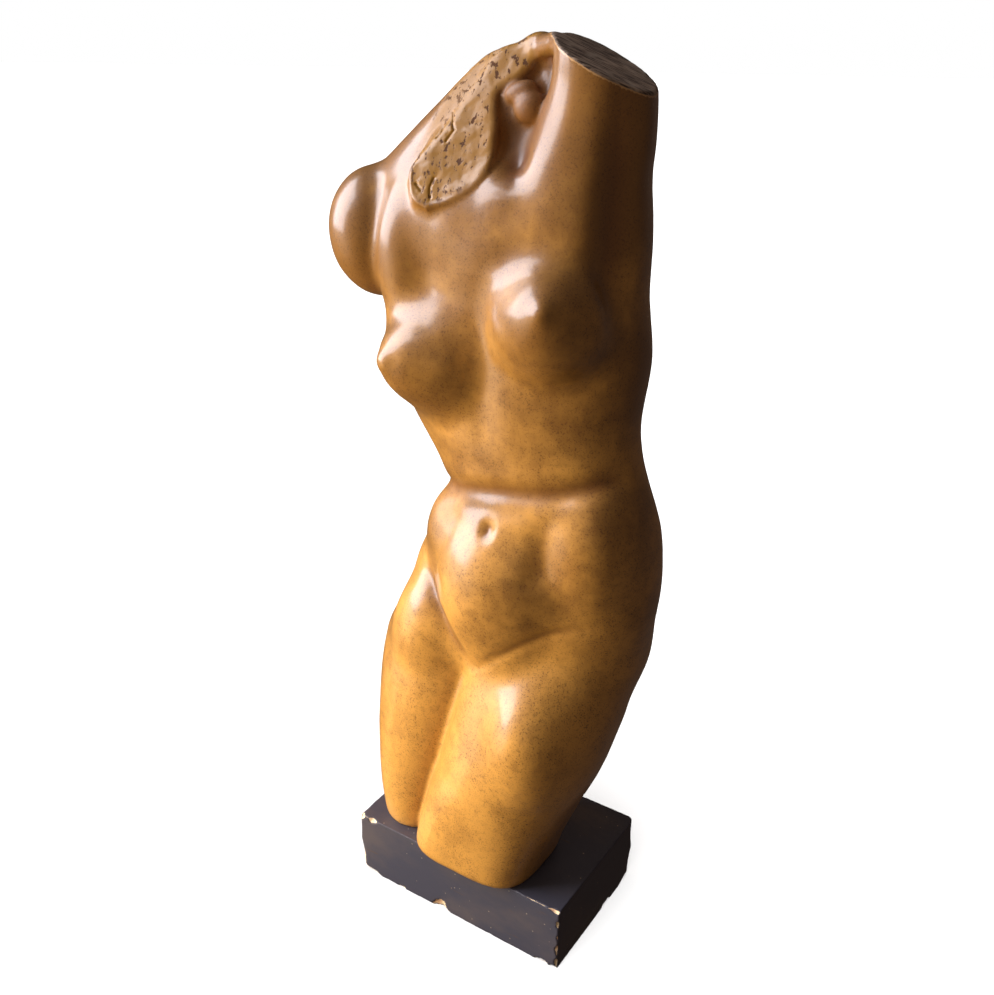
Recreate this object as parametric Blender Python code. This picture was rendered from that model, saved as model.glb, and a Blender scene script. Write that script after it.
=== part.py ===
"""A plaster torso of Venus on a small black plinth.

The figure is a blend of rounded masses: stacked sections, balls and round cones. Each mass can
say how far any point lies from its surface (in millimetres, negative inside), and can add a
rough copy of itself made of Blender primitives. The rough copies are remeshed into one skin,
and the skin is then settled onto the smooth blend of the distances.

+X is the figure's left, -Y is its front and +Z is up. Heights are above the plinth's underside,
whose centre is the origin.
"""
from collections import namedtuple
from math import cos, radians, sin

import bmesh
import bpy
import numpy as np
from mathutils import Euler, Matrix, Vector

MM = 0.001

# Plinth, in metres
PLINTH_LENGTH = 0.210
PLINTH_DEPTH = 0.137
PLINTH_HEIGHT = 0.062
PLINTH_UPRIGHT_ROUND = 0.004
PLINTH_EDGE_ROUND = 0.0012
SEAT_GAP = 0.0003

# Figure, in millimetres
BASE_HEIGHT = (PLINTH_HEIGHT + SEAT_GAP) / MM
BASE_ROUND = 6.0
BASE_TUCK = 2.0
SECTION_POWER = 2.2
RING_SIDES = 24

# Meshing
ROUGH_VOXEL = 5.0
SKIN_VOXEL = 4.0
TRIANGLE_BUDGET = 9000
GRADIENT_STEP = 0.5

Section = namedtuple("Section", "height x y half_width front back")
Furrow = namedtuple("Furrow", "side path width depth fade")
Cut = namedtuple("Cut", "point normal round")

# How softly masses run into each other, in millimetres: from a sharp crease to a long fade
SHARP, CRISP, TIGHT, FOLD, FIRM, SOFT, FULL, FADE = 2, 4, 6, 8, 11, 15, 20, 50
ARM_FADE = 30

TORSO_SECTIONS = (
    Section(205, 8, 10, 92, 42, 60),
    Section(245, 12, 12, 103, 50, 66),
    Section(300, 21, 10, 107, 60, 68),
    Section(350, 34, 8, 97, 57, 60),
    Section(385, 38, 8, 87, 56, 52),
    Section(405, 31, 8, 87, 53, 48),
    Section(450, 9, 10, 96, 57, 52),
    Section(500, 3, 12, 105, 57, 58),
    Section(550, -5, 14, 106, 56, 60),
    Section(600, -4, 16, 101, 52, 56),
    Section(630, -4, 20, 86, 41, 50),
    Section(660, 4, 26, 56, 20, 42),
    Section(690, 8, 32, 36, 12, 30),
)
LEFT_LEG_SECTIONS = (
    Section(40, 10, -27, 54, 49, 44),
    Section(62, 9, -27, 57, 53, 46),
    Section(90, 14.5, -24, 59.5, 57, 50),
    Section(130, 25.5, -18, 63.5, 65, 58),
    Section(180, 38, -10, 68, 69, 68),
    Section(230, 46, -2, 69.5, 64, 72),
    Section(280, 46, 2, 64, 53, 70),
)
RIGHT_LEG_SECTIONS = (
    Section(40, -66, -12, 32, 43, 40),
    Section(62, -67, -11, 36, 48, 42),
    Section(90, -67, -8, 43, 52, 48),
    Section(130, -63, -4, 52, 56, 58),
    Section(180, -56, 0, 60, 59, 66),
    Section(230, -47, 4, 65, 60, 70),
    Section(280, -38, 6, 60, 56, 68),
)
RAISED_ARM_SECTIONS = (
    Section(540, 52, 14, 38, 40, 44),
    Section(590, 49, 14, 42, 47, 44),
    Section(630, 50, 15, 46, 42, 42),
    Section(665, 59.5, 15, 38, 35, 39),
    Section(700, 62, 15, 33, 36, 38),
    Section(740, 61, 14, 33, 36, 38),
)
TORSO_BOTTOM = 215
TORSO_TOP = 700
LEG_TOP = 290
FOOT_TOP = 150
RAISED_ARM_BOTTOM = 545

NECK_BREAK = Cut((-30, -26, 641), (0.178, -0.884, 0.426), 2)
# outline of the break on its own plane: right and up from the cut's point
NECK_OUTLINE = (
    (-13, -43), (4, -37), (21, -25), (29, -11), (29.5, 13), (25.5, 33), (28, 41.5), (36, 46.5),
    (44, 54), (48, 62), (51, 72), (57, 90), (40, 115), (-30, 115), (-62, 80), (-66, 30),
    (-37, -3), (-31, -21), (-25, -37))
NECK_TOP = Cut((-24, 8, 703), (-0.24, 0, 0.97), 6)
ARM_CUT = Cut((56, 10, 699), (0.468, 0, 0.884), 2.5)
# the soft roll of the break into the neck's right side
NECK_SHOULDER = Cut((-64, 0, 638), (-0.85, 0, 0.53), 24)
SHOULDER_FADE = 28
COLLAR_STEP = 4
NECK_DRAFT = 0.35

FRONT, BACK, LEFT = "front", "back", "left"
FURROWS = (
    # waist crease and the shallow dip under it
    Furrow(FRONT, ((-60, 380), (-39, 388), (8, 400), (59, 409), (97, 420), (125, 432)), 8, 4.5, 0.25),
    Furrow(FRONT, ((-20, 382), (20, 389), (60, 392)), 6, 1.5, 0.25),
    # sides of the belly
    Furrow(FRONT, ((62, 394), (64, 364), (60, 334)), 11, 3, 0.3),
    Furrow(FRONT, ((-60, 345), (-36, 330), (-20, 305)), 9, 2, 0.25),
    # groins
    Furrow(FRONT, ((-62, 340), (-40, 308), (-22, 290), (-4, 268), (12, 250)), 8, 4.5, 0.3),
    Furrow(FRONT, ((8, 250), (35, 275), (60, 294), (83, 305), (108, 308)), 4.5, 2, 0.3),
    # valley between the neck and the raised arm
    Furrow(FRONT, ((10, 690), (14, 664), (16, 642), (17, 626), (18, 612)), 10, 10, 0.35),
    # navel and breastbone
    Furrow(FRONT, ((18, 374), (18, 371)), 6, 3.5, 0),
    Furrow(FRONT, ((8, 560), (8, 500), (10, 430)), 12, 2, 0.25),
    # armpit of the raised arm
    Furrow(LEFT, ((-8, 720), (-6, 650), (-10, 600), (-16, 560), (-20, 525)), 13, 6, 0.25),
    # spine, cleft and folds of the seat
    Furrow(BACK, ((-5, 650), (-2, 560), (8, 480), (24, 410), (20, 330)), 13, 6, 0.25),
    Furrow(BACK, ((14, 312), (14, 260), (12, 190)), 8, 9, 0.4),
    Furrow(BACK, ((0, 206), (55, 198), (112, 220)), 8, 3, 0.25),
    Furrow(BACK, ((0, 202), (-50, 192), (-96, 212)), 8, 3, 0.25),
)
OUTLINE_STEPS = 3
OUTLINE_REACH = 40
FURROW_STEPS = 6
FURROW_REACH = 3


def clear_scene():
    """Remove every object that is already there."""
    for item in list(bpy.data.objects):
        bpy.data.objects.remove(item)


def union(first, second, radius):
    """Join two distances with a fillet of about this radius."""
    share = np.clip(0.5 + 0.5 * (second - first) / radius, 0, 1)
    return second * (1 - share) + first * share - radius * share * (1 - share)


def trim(first, second, radius):
    """Keep what lies inside both distances, with the edge rounded."""
    return -union(-first, -second, radius)


def unit(vector):
    """The same direction at length one."""
    vector = np.array(vector, float)
    return vector / np.linalg.norm(vector)


def beyond(points, cut):
    """How far each point lies past a cut's plane."""
    return (points - np.array(cut.point)) @ unit(cut.normal)


def curvatures(knots, values):
    """Second derivatives of the natural cubic spline through the knots."""
    count = len(knots)
    gaps = np.diff(knots)
    system = np.eye(count)
    bends = np.zeros(values.shape)
    for i in range(1, count - 1):
        system[i, i - 1:i + 2] = gaps[i - 1], 2 * (gaps[i - 1] + gaps[i]), gaps[i]
        rise = (values[i + 1] - values[i]) / gaps[i]
        bends[i] = 6 * (rise - (values[i] - values[i - 1]) / gaps[i - 1])
    return np.linalg.solve(system, bends)


def spline(knots, values, places):
    """Read a natural cubic spline at the places, held level past its ends."""
    bends = curvatures(knots, values)
    places = np.clip(places, knots[0], knots[-1])
    span = np.clip(np.searchsorted(knots, places) - 1, 0, len(knots) - 2)
    gap = (knots[span + 1] - knots[span])[:, None]
    after = (places - knots[span])[:, None] / gap
    before = 1 - after
    bend = (before**3 - before) * bends[span] + (after**3 - after) * bends[span + 1]
    return before * values[span] + after * values[span + 1] + bend * gap**2 / 6


def rounded_path(corners, steps):
    """A chain of points through the corners along a Catmull-Rom curve."""
    corners = np.array(corners, float)
    first = 2 * corners[0] - corners[1]
    last = 2 * corners[-1] - corners[-2]
    padded = np.vstack([first, corners, last])
    chain = []
    for a, b, c, d in zip(padded, padded[1:], padded[2:], padded[3:]):
        for step in range(steps):
            t = step / steps
            square = 2 * a - 5 * b + 4 * c - d
            cube = 3 * b - a - 3 * c + d
            chain.append(b + 0.5 * t * (c - a + t * (square + t * cube)))
    chain.append(corners[-1])
    return np.array(chain)


class Tube:
    """A limb or trunk given by oval sections stacked up the Z axis."""

    def __init__(self, sections, power=2.0, turn=0, foot_power=0):
        table = np.array(sections, float)
        self.foot_power = foot_power or power
        self.turn = radians(turn)
        self.sections = sections
        self.power = power
        self.heights = table[:, 0]
        self.values = table[:, 1:]

    def distance(self, points):
        x, y, half_width, front, back = spline(self.heights, self.values, points[:, 2]).T
        over, behind = points[:, 0] - x, points[:, 1] - y
        sideways = over * cos(self.turn) + behind * sin(self.turn)
        backward = behind * cos(self.turn) - over * sin(self.turn)
        depth = np.where(backward < 0, front, back)
        across = np.abs(sideways) / half_width
        along = np.abs(backward) / depth
        power = self.power_at(points[:, 2])
        size = np.maximum((across**power + along**power)**(1 / power), 1e-6)
        slope = np.hypot(across**(power - 1) / half_width, along**(power - 1) / depth)
        slope = slope / size**(power - 1)
        return (size - 1) / np.maximum(slope, 1 / np.maximum(half_width, depth))

    def power_at(self, height):
        """How square the sections are: squarer toward the foot if the tube has one."""
        if self.foot_power == self.power:
            return self.power
        foot = np.clip((FOOT_TOP - height) / (FOOT_TOP - BASE_HEIGHT), 0, 1)
        return self.power + (self.foot_power - self.power) * foot

    def add_rough(self, mesh, bottom, top, cut=None):
        """Bridge one ring for each section between the two heights."""
        middle = [s.height for s in self.sections if bottom < s.height < top]
        edges = []
        for height in [bottom, *middle, top]:
            edges.append(self.add_ring(mesh, height))
        for lower, upper in zip(edges, edges[1:]):
            bmesh.ops.bridge_loops(mesh, edges=lower + upper)
        for rim in (edges[0], edges[-1]):
            bmesh.ops.contextual_create(mesh, geom=rim)
        if cut:
            slice_off(mesh, cut, 1)

    def add_ring(self, mesh, height):
        row = spline(self.heights, self.values, np.array([float(height)]))[0]
        x, y, half_width, front, back = row
        ring = bmesh.ops.create_circle(mesh, segments=RING_SIDES, radius=1)["verts"]
        for vert in ring:
            depth = front if vert.co.y < 0 else back
            vert.co = (x + vert.co.x * half_width, y + vert.co.y * depth, height)
        return list({edge for vert in ring for edge in vert.link_edges})


class Ball:
    """An ellipsoid, which may be turned."""

    def __init__(self, centre, radii, turn=(0, 0, 0)):
        self.centre = np.array(centre, float)
        self.radii = np.array(radii, float)
        self.turn = Euler([radians(angle) for angle in turn]).to_matrix()

    def distance(self, points):
        local = (points - self.centre) @ np.array(self.turn)
        near = np.linalg.norm(local / self.radii, axis=1)
        slope = np.linalg.norm(local / self.radii**2, axis=1)
        return near * (near - 1) / np.maximum(slope, 1e-9)

    def add_rough(self, mesh):
        place = Matrix.Translation(self.centre) @ self.turn.to_4x4()
        size = Matrix.Diagonal((*self.radii, 1))
        bmesh.ops.create_icosphere(mesh, subdivisions=3, radius=1, matrix=place @ size)


class RoundCone:
    """Two balls and the cone that wraps them."""

    def __init__(self, start, end, start_radius, end_radius):
        self.start = np.array(start, float)
        self.end = np.array(end, float)
        self.start_radius = start_radius
        self.end_radius = end_radius

    def distance(self, points):
        axis = self.end - self.start
        length = np.linalg.norm(axis)
        shrink = (self.start_radius - self.end_radius) / length
        along = (points - self.start) @ (axis / length)
        off_axis = points - self.start - along[:, None] * (axis / length)
        away = np.linalg.norm(off_axis, axis=1)
        lean = np.sqrt(1 - shrink**2)
        touch = np.clip((along + away * shrink / lean) / length, 0, 1)
        centre = touch * length
        radius = self.start_radius + (self.end_radius - self.start_radius) * touch
        return np.hypot(away, along - centre) - radius

    def add_rough(self, mesh):
        axis = Vector(self.end - self.start)
        turn = axis.to_track_quat("Z", "Y").to_matrix().to_4x4()
        place = Matrix.Translation((self.start + self.end) / 2) @ turn
        bmesh.ops.create_cone(
            mesh, segments=RING_SIDES, radius1=self.start_radius, radius2=self.end_radius,
            depth=axis.length, cap_ends=True, matrix=place)
        Ball(self.start, [self.start_radius] * 3).add_rough(mesh)
        Ball(self.end, [self.end_radius] * 3).add_rough(mesh)


class Prism:
    """A straight block behind a cut's plane, with a closed rounded outline drawn on the plane."""

    def __init__(self, cut, outline):
        self.normal = unit(cut.normal)
        self.point = np.array(cut.point, float)
        self.right = unit(np.cross((0, 0, 1), self.normal))
        self.up = np.cross(self.normal, self.right)
        self.chain = rounded_path((*outline, outline[0]), OUTLINE_STEPS)[:-1]

    def distance(self, points):
        local = points - self.point
        flat = np.stack([local @ self.right, local @ self.up], axis=1)
        low = self.chain.min(axis=0) - OUTLINE_REACH
        high = self.chain.max(axis=0) + OUTLINE_REACH
        near = ((flat > low) & (flat < high)).all(axis=1)
        distance = np.full(len(points), float(OUTLINE_REACH))
        distance[near] = self.outline_distance(flat[near])
        return distance

    def outline_distance(self, flat):
        away = np.full(len(flat), np.inf)
        inside = np.zeros(len(flat), bool)
        for start, end in zip(self.chain, np.roll(self.chain, -1, axis=0)):
            step = end - start
            t = np.clip((flat - start) @ step / (step @ step), 0, 1)
            away = np.minimum(away, np.linalg.norm(flat - start - t[:, None] * step, axis=1))
            level = (flat[:, 1] > start[1]) != (flat[:, 1] > end[1])
            crossing = start[0] + (flat[:, 1] - start[1]) * step[0] / (step[1] or 1)
            inside ^= level & (flat[:, 0] < crossing)
        return np.where(inside, -away, away)


class Breast:
    """A full lobe, its slope down from the chest, a soft point and the nipple."""

    def __init__(self, lobe, slope, point, nipple):
        self.lobe = lobe
        self.slope = slope
        self.point = Ball(point, (14, 14, 14))
        self.nipple = Ball(nipple, (4, 5, 4))

    def distance(self, points):
        body = union(self.lobe.distance(points), self.slope.distance(points), 30)
        body = union(body, self.point.distance(points), 24)
        return union(body, self.nipple.distance(points), 11)

    def add_rough(self, mesh):
        for ball in (self.lobe, self.slope, self.point, self.nipple):
            ball.add_rough(mesh)


TORSO = Tube(TORSO_SECTIONS, SECTION_POWER)
LEFT_LEG = Tube(LEFT_LEG_SECTIONS, 2.2, foot_power=3.6)
RIGHT_LEG = Tube(RIGHT_LEG_SECTIONS)
RAISED_ARM = Tube(RAISED_ARM_SECTIONS, 2.3, turn=12)

LEFT_SEAT = Ball((60, 26, 268), (57, 58, 62))
RIGHT_SEAT = Ball((-32, 28, 258), (58, 56, 60))
BELLY = Ball((17, -30, 327), (52, 38, 46))
PUBIS = Ball((12, -27, 290), (45, 36, 46))
LEFT_THIGH = Ball((62, -24, 195), (44, 60, 68))
RIGHT_THIGH = Ball((-48, -19, 262), (38, 40, 52), (0, 17, 0))
STERNUM = Ball((-4, -8, 580), (46, 32, 38))
LEFT_HIP_CREST = Ball((90, -14, 366), (30, 32, 48))
RIGHT_HIP_CREST = Ball((-34, -12, 345), (24, 28, 40))
LEFT_SHOULDER_BLADE = Ball((46, 50, 590), (34, 24, 50), (0, 14, 0))
RIGHT_SHOULDER_BLADE = Ball((-52, 48, 566), (34, 26, 46), (0, -10, 0))
LOWERED_ARM_STUMP = Ball((-115, -2, 574), (37, 44, 49), (0, -9, 0))
RIGHT_CHEST = Ball((-72, -19, 563), (27, 28, 55))
SHOULDER_SLOPE = RoundCone((-96, 12, 599), (-20, 16, 668), 34, 31)
NECK = RoundCone((-31, -22, 616), (-5, 8, 692), 33.5, 28.5)
NECK_TO_ARM = RoundCone((-8, 14, 690), (14, 24, 704), 25, 18)
NECK_SIDES = Prism(NECK_BREAK, NECK_OUTLINE)
WEB = RoundCone((8, 19, 704), (34, 3, 708), 8, 7)
NECK_KNOB = Ball((16, -2, 668), (12, 9, 11))
NECK_LOCK = Ball((7, 0, 677), (13, 8, 7), (0, -20, 0))
NECK_HOLLOW = RoundCone((17, 23, 690), (24, 14, 674), 10, 9)
COLLAR = Ball((-40, -14, 592), (38, 26, 34))
LEFT_BREAST = Breast(
    Ball((54, -32, 529), (41, 34, 37)), Ball((48, -16, 546), (38, 27, 30)),
    (63, -53, 541), (69, -66, 547))
RIGHT_BREAST = Breast(
    Ball((-39, -31, 488), (41, 35, 37)), Ball((-48, -17, 506), (38, 27, 30)),
    (-55, -53, 493), (-62, -66, 494))


def lower_body(points):
    """Torso, legs, seat, belly and hip crests."""
    height = points[:, 2]
    body = trim(TORSO.distance(points), TORSO_BOTTOM - height, FADE)
    body = trim(body, height - TORSO_TOP, FULL)
    left_leg = trim(LEFT_LEG.distance(points), height - LEG_TOP, FADE)
    right_leg = trim(RIGHT_LEG.distance(points), height - LEG_TOP, FADE)
    body = union(body, union(left_leg, right_leg, TIGHT), SOFT)
    seat = union(LEFT_SEAT.distance(points), RIGHT_SEAT.distance(points), FOLD)
    body = union(body, seat, SOFT)
    for front in (PUBIS, BELLY):
        body = union(body, front.distance(points), FULL)
    for thigh in (LEFT_THIGH, RIGHT_THIGH):
        body = union(body, thigh.distance(points), FIRM)
    for crest in (LEFT_HIP_CREST, RIGHT_HIP_CREST):
        body = union(body, crest.distance(points), SOFT)
    return body


def upper_body(points, body):
    """Raised arm, shoulder blades, chest, breasts, shoulder slope and the lowered arm's stump."""
    arm = trim(RAISED_ARM.distance(points), RAISED_ARM_BOTTOM - points[:, 2], ARM_FADE)
    body = union(body, arm, SOFT)
    for blade in (LEFT_SHOULDER_BLADE, RIGHT_SHOULDER_BLADE):
        body = union(body, blade.distance(points), SOFT)
    under_break = beyond(points, NECK_BREAK) + COLLAR_STEP
    body = union(body, trim(STERNUM.distance(points), under_break, FIRM), FULL)
    for swell in (RIGHT_CHEST, LEFT_BREAST, RIGHT_BREAST):
        body = union(body, swell.distance(points), SOFT)
    body = union(body, trim(SHOULDER_SLOPE.distance(points), under_break, FOLD), FULL)
    body = union(body, trim(COLLAR.distance(points), under_break, CRISP), SOFT)
    return union(body, LOWERED_ARM_STUMP.distance(points), FOLD)


def shoulder_share(points):
    """1 along the break's soft right side, fading to 0 toward its crisp edges."""
    across = np.clip(1 + beyond(points, NECK_SHOULDER) / SHOULDER_FADE, 0, 1)
    upward = np.clip((points[:, 2] - NECK_SHOULDER.point[2] + 10) / SHOULDER_FADE, 0, 1)
    return across * upward


def neck_stump(points):
    """The neck, broken off along a slanting face, its top, and the web to the raised arm."""
    neck = union(NECK.distance(points), NECK_TO_ARM.distance(points), TIGHT)
    edge = NECK_BREAK.round + NECK_SHOULDER.round * shoulder_share(points)
    neck = trim(neck, beyond(points, NECK_BREAK), edge)
    behind = np.minimum(beyond(points, NECK_BREAK), 0)
    neck = trim(neck, NECK_SIDES.distance(points) + NECK_DRAFT * behind, NECK_BREAK.round)
    neck = trim(neck, beyond(points, NECK_TOP), NECK_TOP.round)
    for filling in (WEB, NECK_HOLLOW):
        neck = union(neck, filling.distance(points), TIGHT)
    knob = union(NECK_KNOB.distance(points), NECK_LOCK.distance(points), SHARP)
    return union(neck, knob, CRISP)


def side_share(points, side):
    """1 on the side that a furrow is drawn on, fading to 0 round the flank."""
    x, y = points[:, 0], points[:, 1]
    ramp = {FRONT: -y / 15, BACK: (y - 20) / 20, LEFT: (x - 55) / 30}[side]
    return np.clip(ramp, 0, 1)


def nearest_on_path(flat, chain):
    """Distance to a chain of points, and how far along it the nearest place is (0 to 1)."""
    best = np.full(len(flat), np.inf)
    along = np.zeros(len(flat))
    for i, (start, end) in enumerate(zip(chain, chain[1:])):
        step = end - start
        t = np.clip((flat - start) @ step / (step @ step), 0, 1)
        away = np.linalg.norm(flat - start - t[:, None] * step, axis=1)
        closer = away < best
        best = np.where(closer, away, best)
        along = np.where(closer, (i + t) / (len(chain) - 1), along)
    return best, along


def furrow_depth(points, furrow):
    """How deep a furrow is at each point."""
    plane = (1, 2) if furrow.side == LEFT else (0, 2)
    chain = rounded_path(furrow.path, FURROW_STEPS)
    flat = points[:, plane]
    reach = FURROW_REACH * furrow.width
    share = side_share(points, furrow.side)
    inside = ((flat > chain.min(axis=0) - reach) & (flat < chain.max(axis=0) + reach)).all(axis=1)
    near = inside & (share > 0)
    away, along = nearest_on_path(flat[near], chain)
    dip = np.exp(-(away / furrow.width)**2)
    if furrow.fade:
        dip = dip * np.clip(np.minimum(along, 1 - along) / furrow.fade, 0, 1)**0.7
    depth = np.zeros(len(points))
    depth[near] = furrow.depth * dip * share[near]
    return depth


def figure_distance(points):
    """The whole figure: its masses, furrows, neck stump and cuts."""
    body = upper_body(points, lower_body(points))
    for furrow in FURROWS:
        body = body + furrow_depth(points, furrow)
    body = union(body, neck_stump(points), CRISP)
    body = trim(body, beyond(points, ARM_CUT) - 1, ARM_CUT.round)
    return trim(body, BASE_HEIGHT - BASE_TUCK - points[:, 2], BASE_ROUND)


def slice_off(mesh, cut, extra=0):
    """Cut a closed mesh along a plane, drop what lies past it and close the hole."""
    normal = Vector(cut.normal).normalized()
    point = Vector(cut.point) + normal * extra
    everything = mesh.verts[:] + mesh.edges[:] + mesh.faces[:]
    bmesh.ops.bisect_plane(
        mesh, geom=everything, dist=0.0001, plane_co=point, plane_no=normal, clear_outer=True)
    rim = [edge for edge in mesh.edges if edge.is_boundary]
    bmesh.ops.holes_fill(mesh, edges=rim, sides=0)


def rough_solids():
    """Closed rough copies of every mass, each a bmesh in millimetres."""
    floor = BASE_HEIGHT - BASE_TUCK
    yield lambda mesh: TORSO.add_rough(mesh, TORSO_BOTTOM, 690)
    yield lambda mesh: LEFT_LEG.add_rough(mesh, floor, 280)
    yield lambda mesh: RIGHT_LEG.add_rough(mesh, floor, 280)
    yield lambda mesh: RAISED_ARM.add_rough(mesh, RAISED_ARM_BOTTOM, 740, ARM_CUT)
    masses = (
        LEFT_SEAT, RIGHT_SEAT, BELLY, PUBIS, LEFT_THIGH, RIGHT_THIGH, LEFT_HIP_CREST,
        RIGHT_HIP_CREST, LEFT_SHOULDER_BLADE, RIGHT_SHOULDER_BLADE, LOWERED_ARM_STUMP,
        SHOULDER_SLOPE, STERNUM, COLLAR, NECK, NECK_TO_ARM, WEB, NECK_HOLLOW, NECK_KNOB, NECK_LOCK,
        RIGHT_CHEST, LEFT_BREAST, RIGHT_BREAST)
    for mass in masses:
        yield mass.add_rough


def rough_mesh():
    """All the rough solids in one mesh, still overlapping."""
    joined = bmesh.new()
    for add_solid in rough_solids():
        add_solid(joined)
    bmesh.ops.recalc_face_normals(joined, faces=joined.faces)
    mesh = bpy.data.meshes.new("rough")
    joined.to_mesh(mesh)
    joined.free()
    return mesh


def with_modifier(mesh, kind, **settings):
    """The mesh as one modifier leaves it."""
    holder = bpy.data.objects.new("holder", mesh)
    bpy.context.collection.objects.link(holder)
    modifier = holder.modifiers.new(kind, kind)
    for name, value in settings.items():
        setattr(modifier, name, value)
    graph = bpy.context.evaluated_depsgraph_get()
    result = bpy.data.meshes.new_from_object(holder.evaluated_get(graph))
    bpy.data.objects.remove(holder)
    return result


def corners_of(mesh):
    """The mesh's corners as an array of x, y, z rows."""
    places = np.zeros(len(mesh.vertices) * 3)
    mesh.vertices.foreach_get("co", places)
    return places.reshape(-1, 3)


def put_corners(mesh, places):
    """Move the mesh's corners to these places."""
    mesh.vertices.foreach_set("co", places.ravel())
    mesh.update()


def gradient(points):
    """Which way the figure's distance grows, and how fast."""
    steps = np.eye(3) * GRADIENT_STEP
    rise = [figure_distance(points + s) - figure_distance(points - s) for s in steps]
    return np.stack(rise, axis=1) / (2 * GRADIENT_STEP)


def onto_figure(points, rounds, reach=6.0):
    """Step each point down the slope of the distance until it lies on the surface."""
    for _ in range(rounds):
        slope = gradient(points)
        steep = np.maximum((slope**2).sum(axis=1), 0.05)
        step = np.clip(figure_distance(points) / steep, -reach, reach)
        points = points - step[:, None] * slope
    return points


def evened(mesh, points, share=0.5):
    """Slide points toward the middle of their neighbours, but only along the surface."""
    edges = np.zeros(len(mesh.edges) * 2, int)
    mesh.edges.foreach_get("vertices", edges)
    one, other = edges.reshape(-1, 2).T
    total = np.zeros_like(points)
    count = np.zeros(len(points))
    for a, b in ((one, other), (other, one)):
        np.add.at(total, a, points[b])
        np.add.at(count, a, 1)
    pull = total / count[:, None] - points
    slope = gradient(points)
    slope = slope / np.maximum(np.linalg.norm(slope, axis=1, keepdims=True), 1e-9)
    pull = pull - (pull * slope).sum(axis=1, keepdims=True) * slope
    return points + share * pull


def settle(mesh, passes):
    """Lay the skin on the figure, evening it out between the steps."""
    points = onto_figure(corners_of(mesh), 3)
    for _ in range(passes):
        points = onto_figure(evened(mesh, points), 1)
    put_corners(mesh, onto_figure(points, 2))


def remeshed(mesh, voxel, passes):
    """The mesh rebuilt in even cells and settled onto the figure."""
    mesh = with_modifier(mesh, "REMESH", mode="VOXEL", voxel_size=voxel)
    settle(mesh, passes)
    return mesh


def figure_skin():
    """One closed skin over the whole figure, in millimetres, within the triangle budget."""
    rough = remeshed(rough_mesh(), ROUGH_VOXEL, 2)
    fine = remeshed(rough, SKIN_VOXEL, 4)
    fine.calc_loop_triangles()
    ratio = TRIANGLE_BUDGET / len(fine.loop_triangles)
    skin = with_modifier(fine, "DECIMATE", decimate_type="COLLAPSE", ratio=ratio)
    put_corners(skin, onto_figure(corners_of(skin), 2, reach=1.0))
    return skin


def make_figure():
    """The plaster torso, cut flat at the arm and where it stands."""
    skin = bmesh.new()
    skin.from_mesh(figure_skin())
    slice_off(skin, ARM_CUT)
    slice_off(skin, Cut((0, 0, BASE_HEIGHT), (0, 0, -1), 0))
    bmesh.ops.triangulate(skin, faces=skin.faces)
    bmesh.ops.remove_doubles(skin, verts=skin.verts, dist=0.05)
    bmesh.ops.dissolve_degenerate(skin, edges=skin.edges, dist=0.01)
    bmesh.ops.triangulate(skin, faces=skin.faces)
    bmesh.ops.scale(skin, vec=(MM, MM, MM), verts=skin.verts)
    return finished("figure", skin, patina())


def make_plinth():
    """A plain block with softened edges."""
    block = bmesh.new()
    bmesh.ops.create_cube(block, size=1)
    size = (PLINTH_LENGTH, PLINTH_DEPTH, PLINTH_HEIGHT)
    bmesh.ops.scale(block, vec=size, verts=block.verts)
    bmesh.ops.translate(block, vec=(0, 0, PLINTH_HEIGHT / 2), verts=block.verts)
    uprights = [edge for edge in block.edges if abs(edge.verts[0].co.z - edge.verts[1].co.z) > 0.01]
    bmesh.ops.bevel(
        block, geom=uprights, offset=PLINTH_UPRIGHT_ROUND, segments=4, profile=0.5,
        affect="EDGES", material=-1)
    rims = [edge for edge in block.edges if abs(edge.verts[0].co.z - edge.verts[1].co.z) < 0.01]
    bmesh.ops.bevel(
        block, geom=rims, offset=PLINTH_EDGE_ROUND, segments=2, profile=0.5,
        affect="EDGES", material=-1)
    return finished("plinth", block, black_paint())


def finished(name, solid, material):
    """Make the object, give it its material and shade it smooth but for its sharp edges."""
    mesh = bpy.data.meshes.new(name)
    solid.to_mesh(mesh)
    solid.free()
    mesh.materials.append(material)
    mesh.shade_smooth()
    mesh.set_sharp_from_angle(angle=radians(40))
    item = bpy.data.objects.new(name, mesh)
    bpy.context.collection.objects.link(item)
    return item


def plain_material(name, colour, roughness):
    """A Principled material of one colour, not metallic."""
    material = bpy.data.materials.new(name)
    material.use_nodes = True
    surface = material.node_tree.nodes["Principled BSDF"]
    surface.inputs["Base Color"].default_value = (*colour, 1)
    surface.inputs["Roughness"].default_value = roughness
    surface.inputs["Metallic"].default_value = 0
    return material


def patina():
    """Amber-brown shellac over plaster."""
    return plain_material("amber_patina", (0.42, 0.21, 0.06), 0.32)


def black_paint():
    """Black satin paint over plaster."""
    return plain_material("black_paint", (0.028, 0.030, 0.038), 0.38)


def main():
    clear_scene()
    make_plinth()
    make_figure()


main()
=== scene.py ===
"""Looks for a plaster torso of Venus on a small black plinth.

The figure is the CAD figure with a finer skin: it is remeshed, laid on the same smooth blend of
masses, and given the relief that is too fine for CAD: the cracked neck break, the sawn arm and
the slight unevenness of cast plaster. The plinth is rebuilt with its worn edges and chips.

+X is the figure's left, -Y is its front and +Z is up. The distances that shape the skin are in
millimetres, negative inside; finished meshes are in metres.
"""

from collections import namedtuple
from math import cos, radians, sin

import bmesh
import bpy
import numpy as np
from bpy.props import FloatProperty, FloatVectorProperty, IntProperty, PointerProperty
from mathutils import Euler, Matrix, Vector, noise


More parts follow.
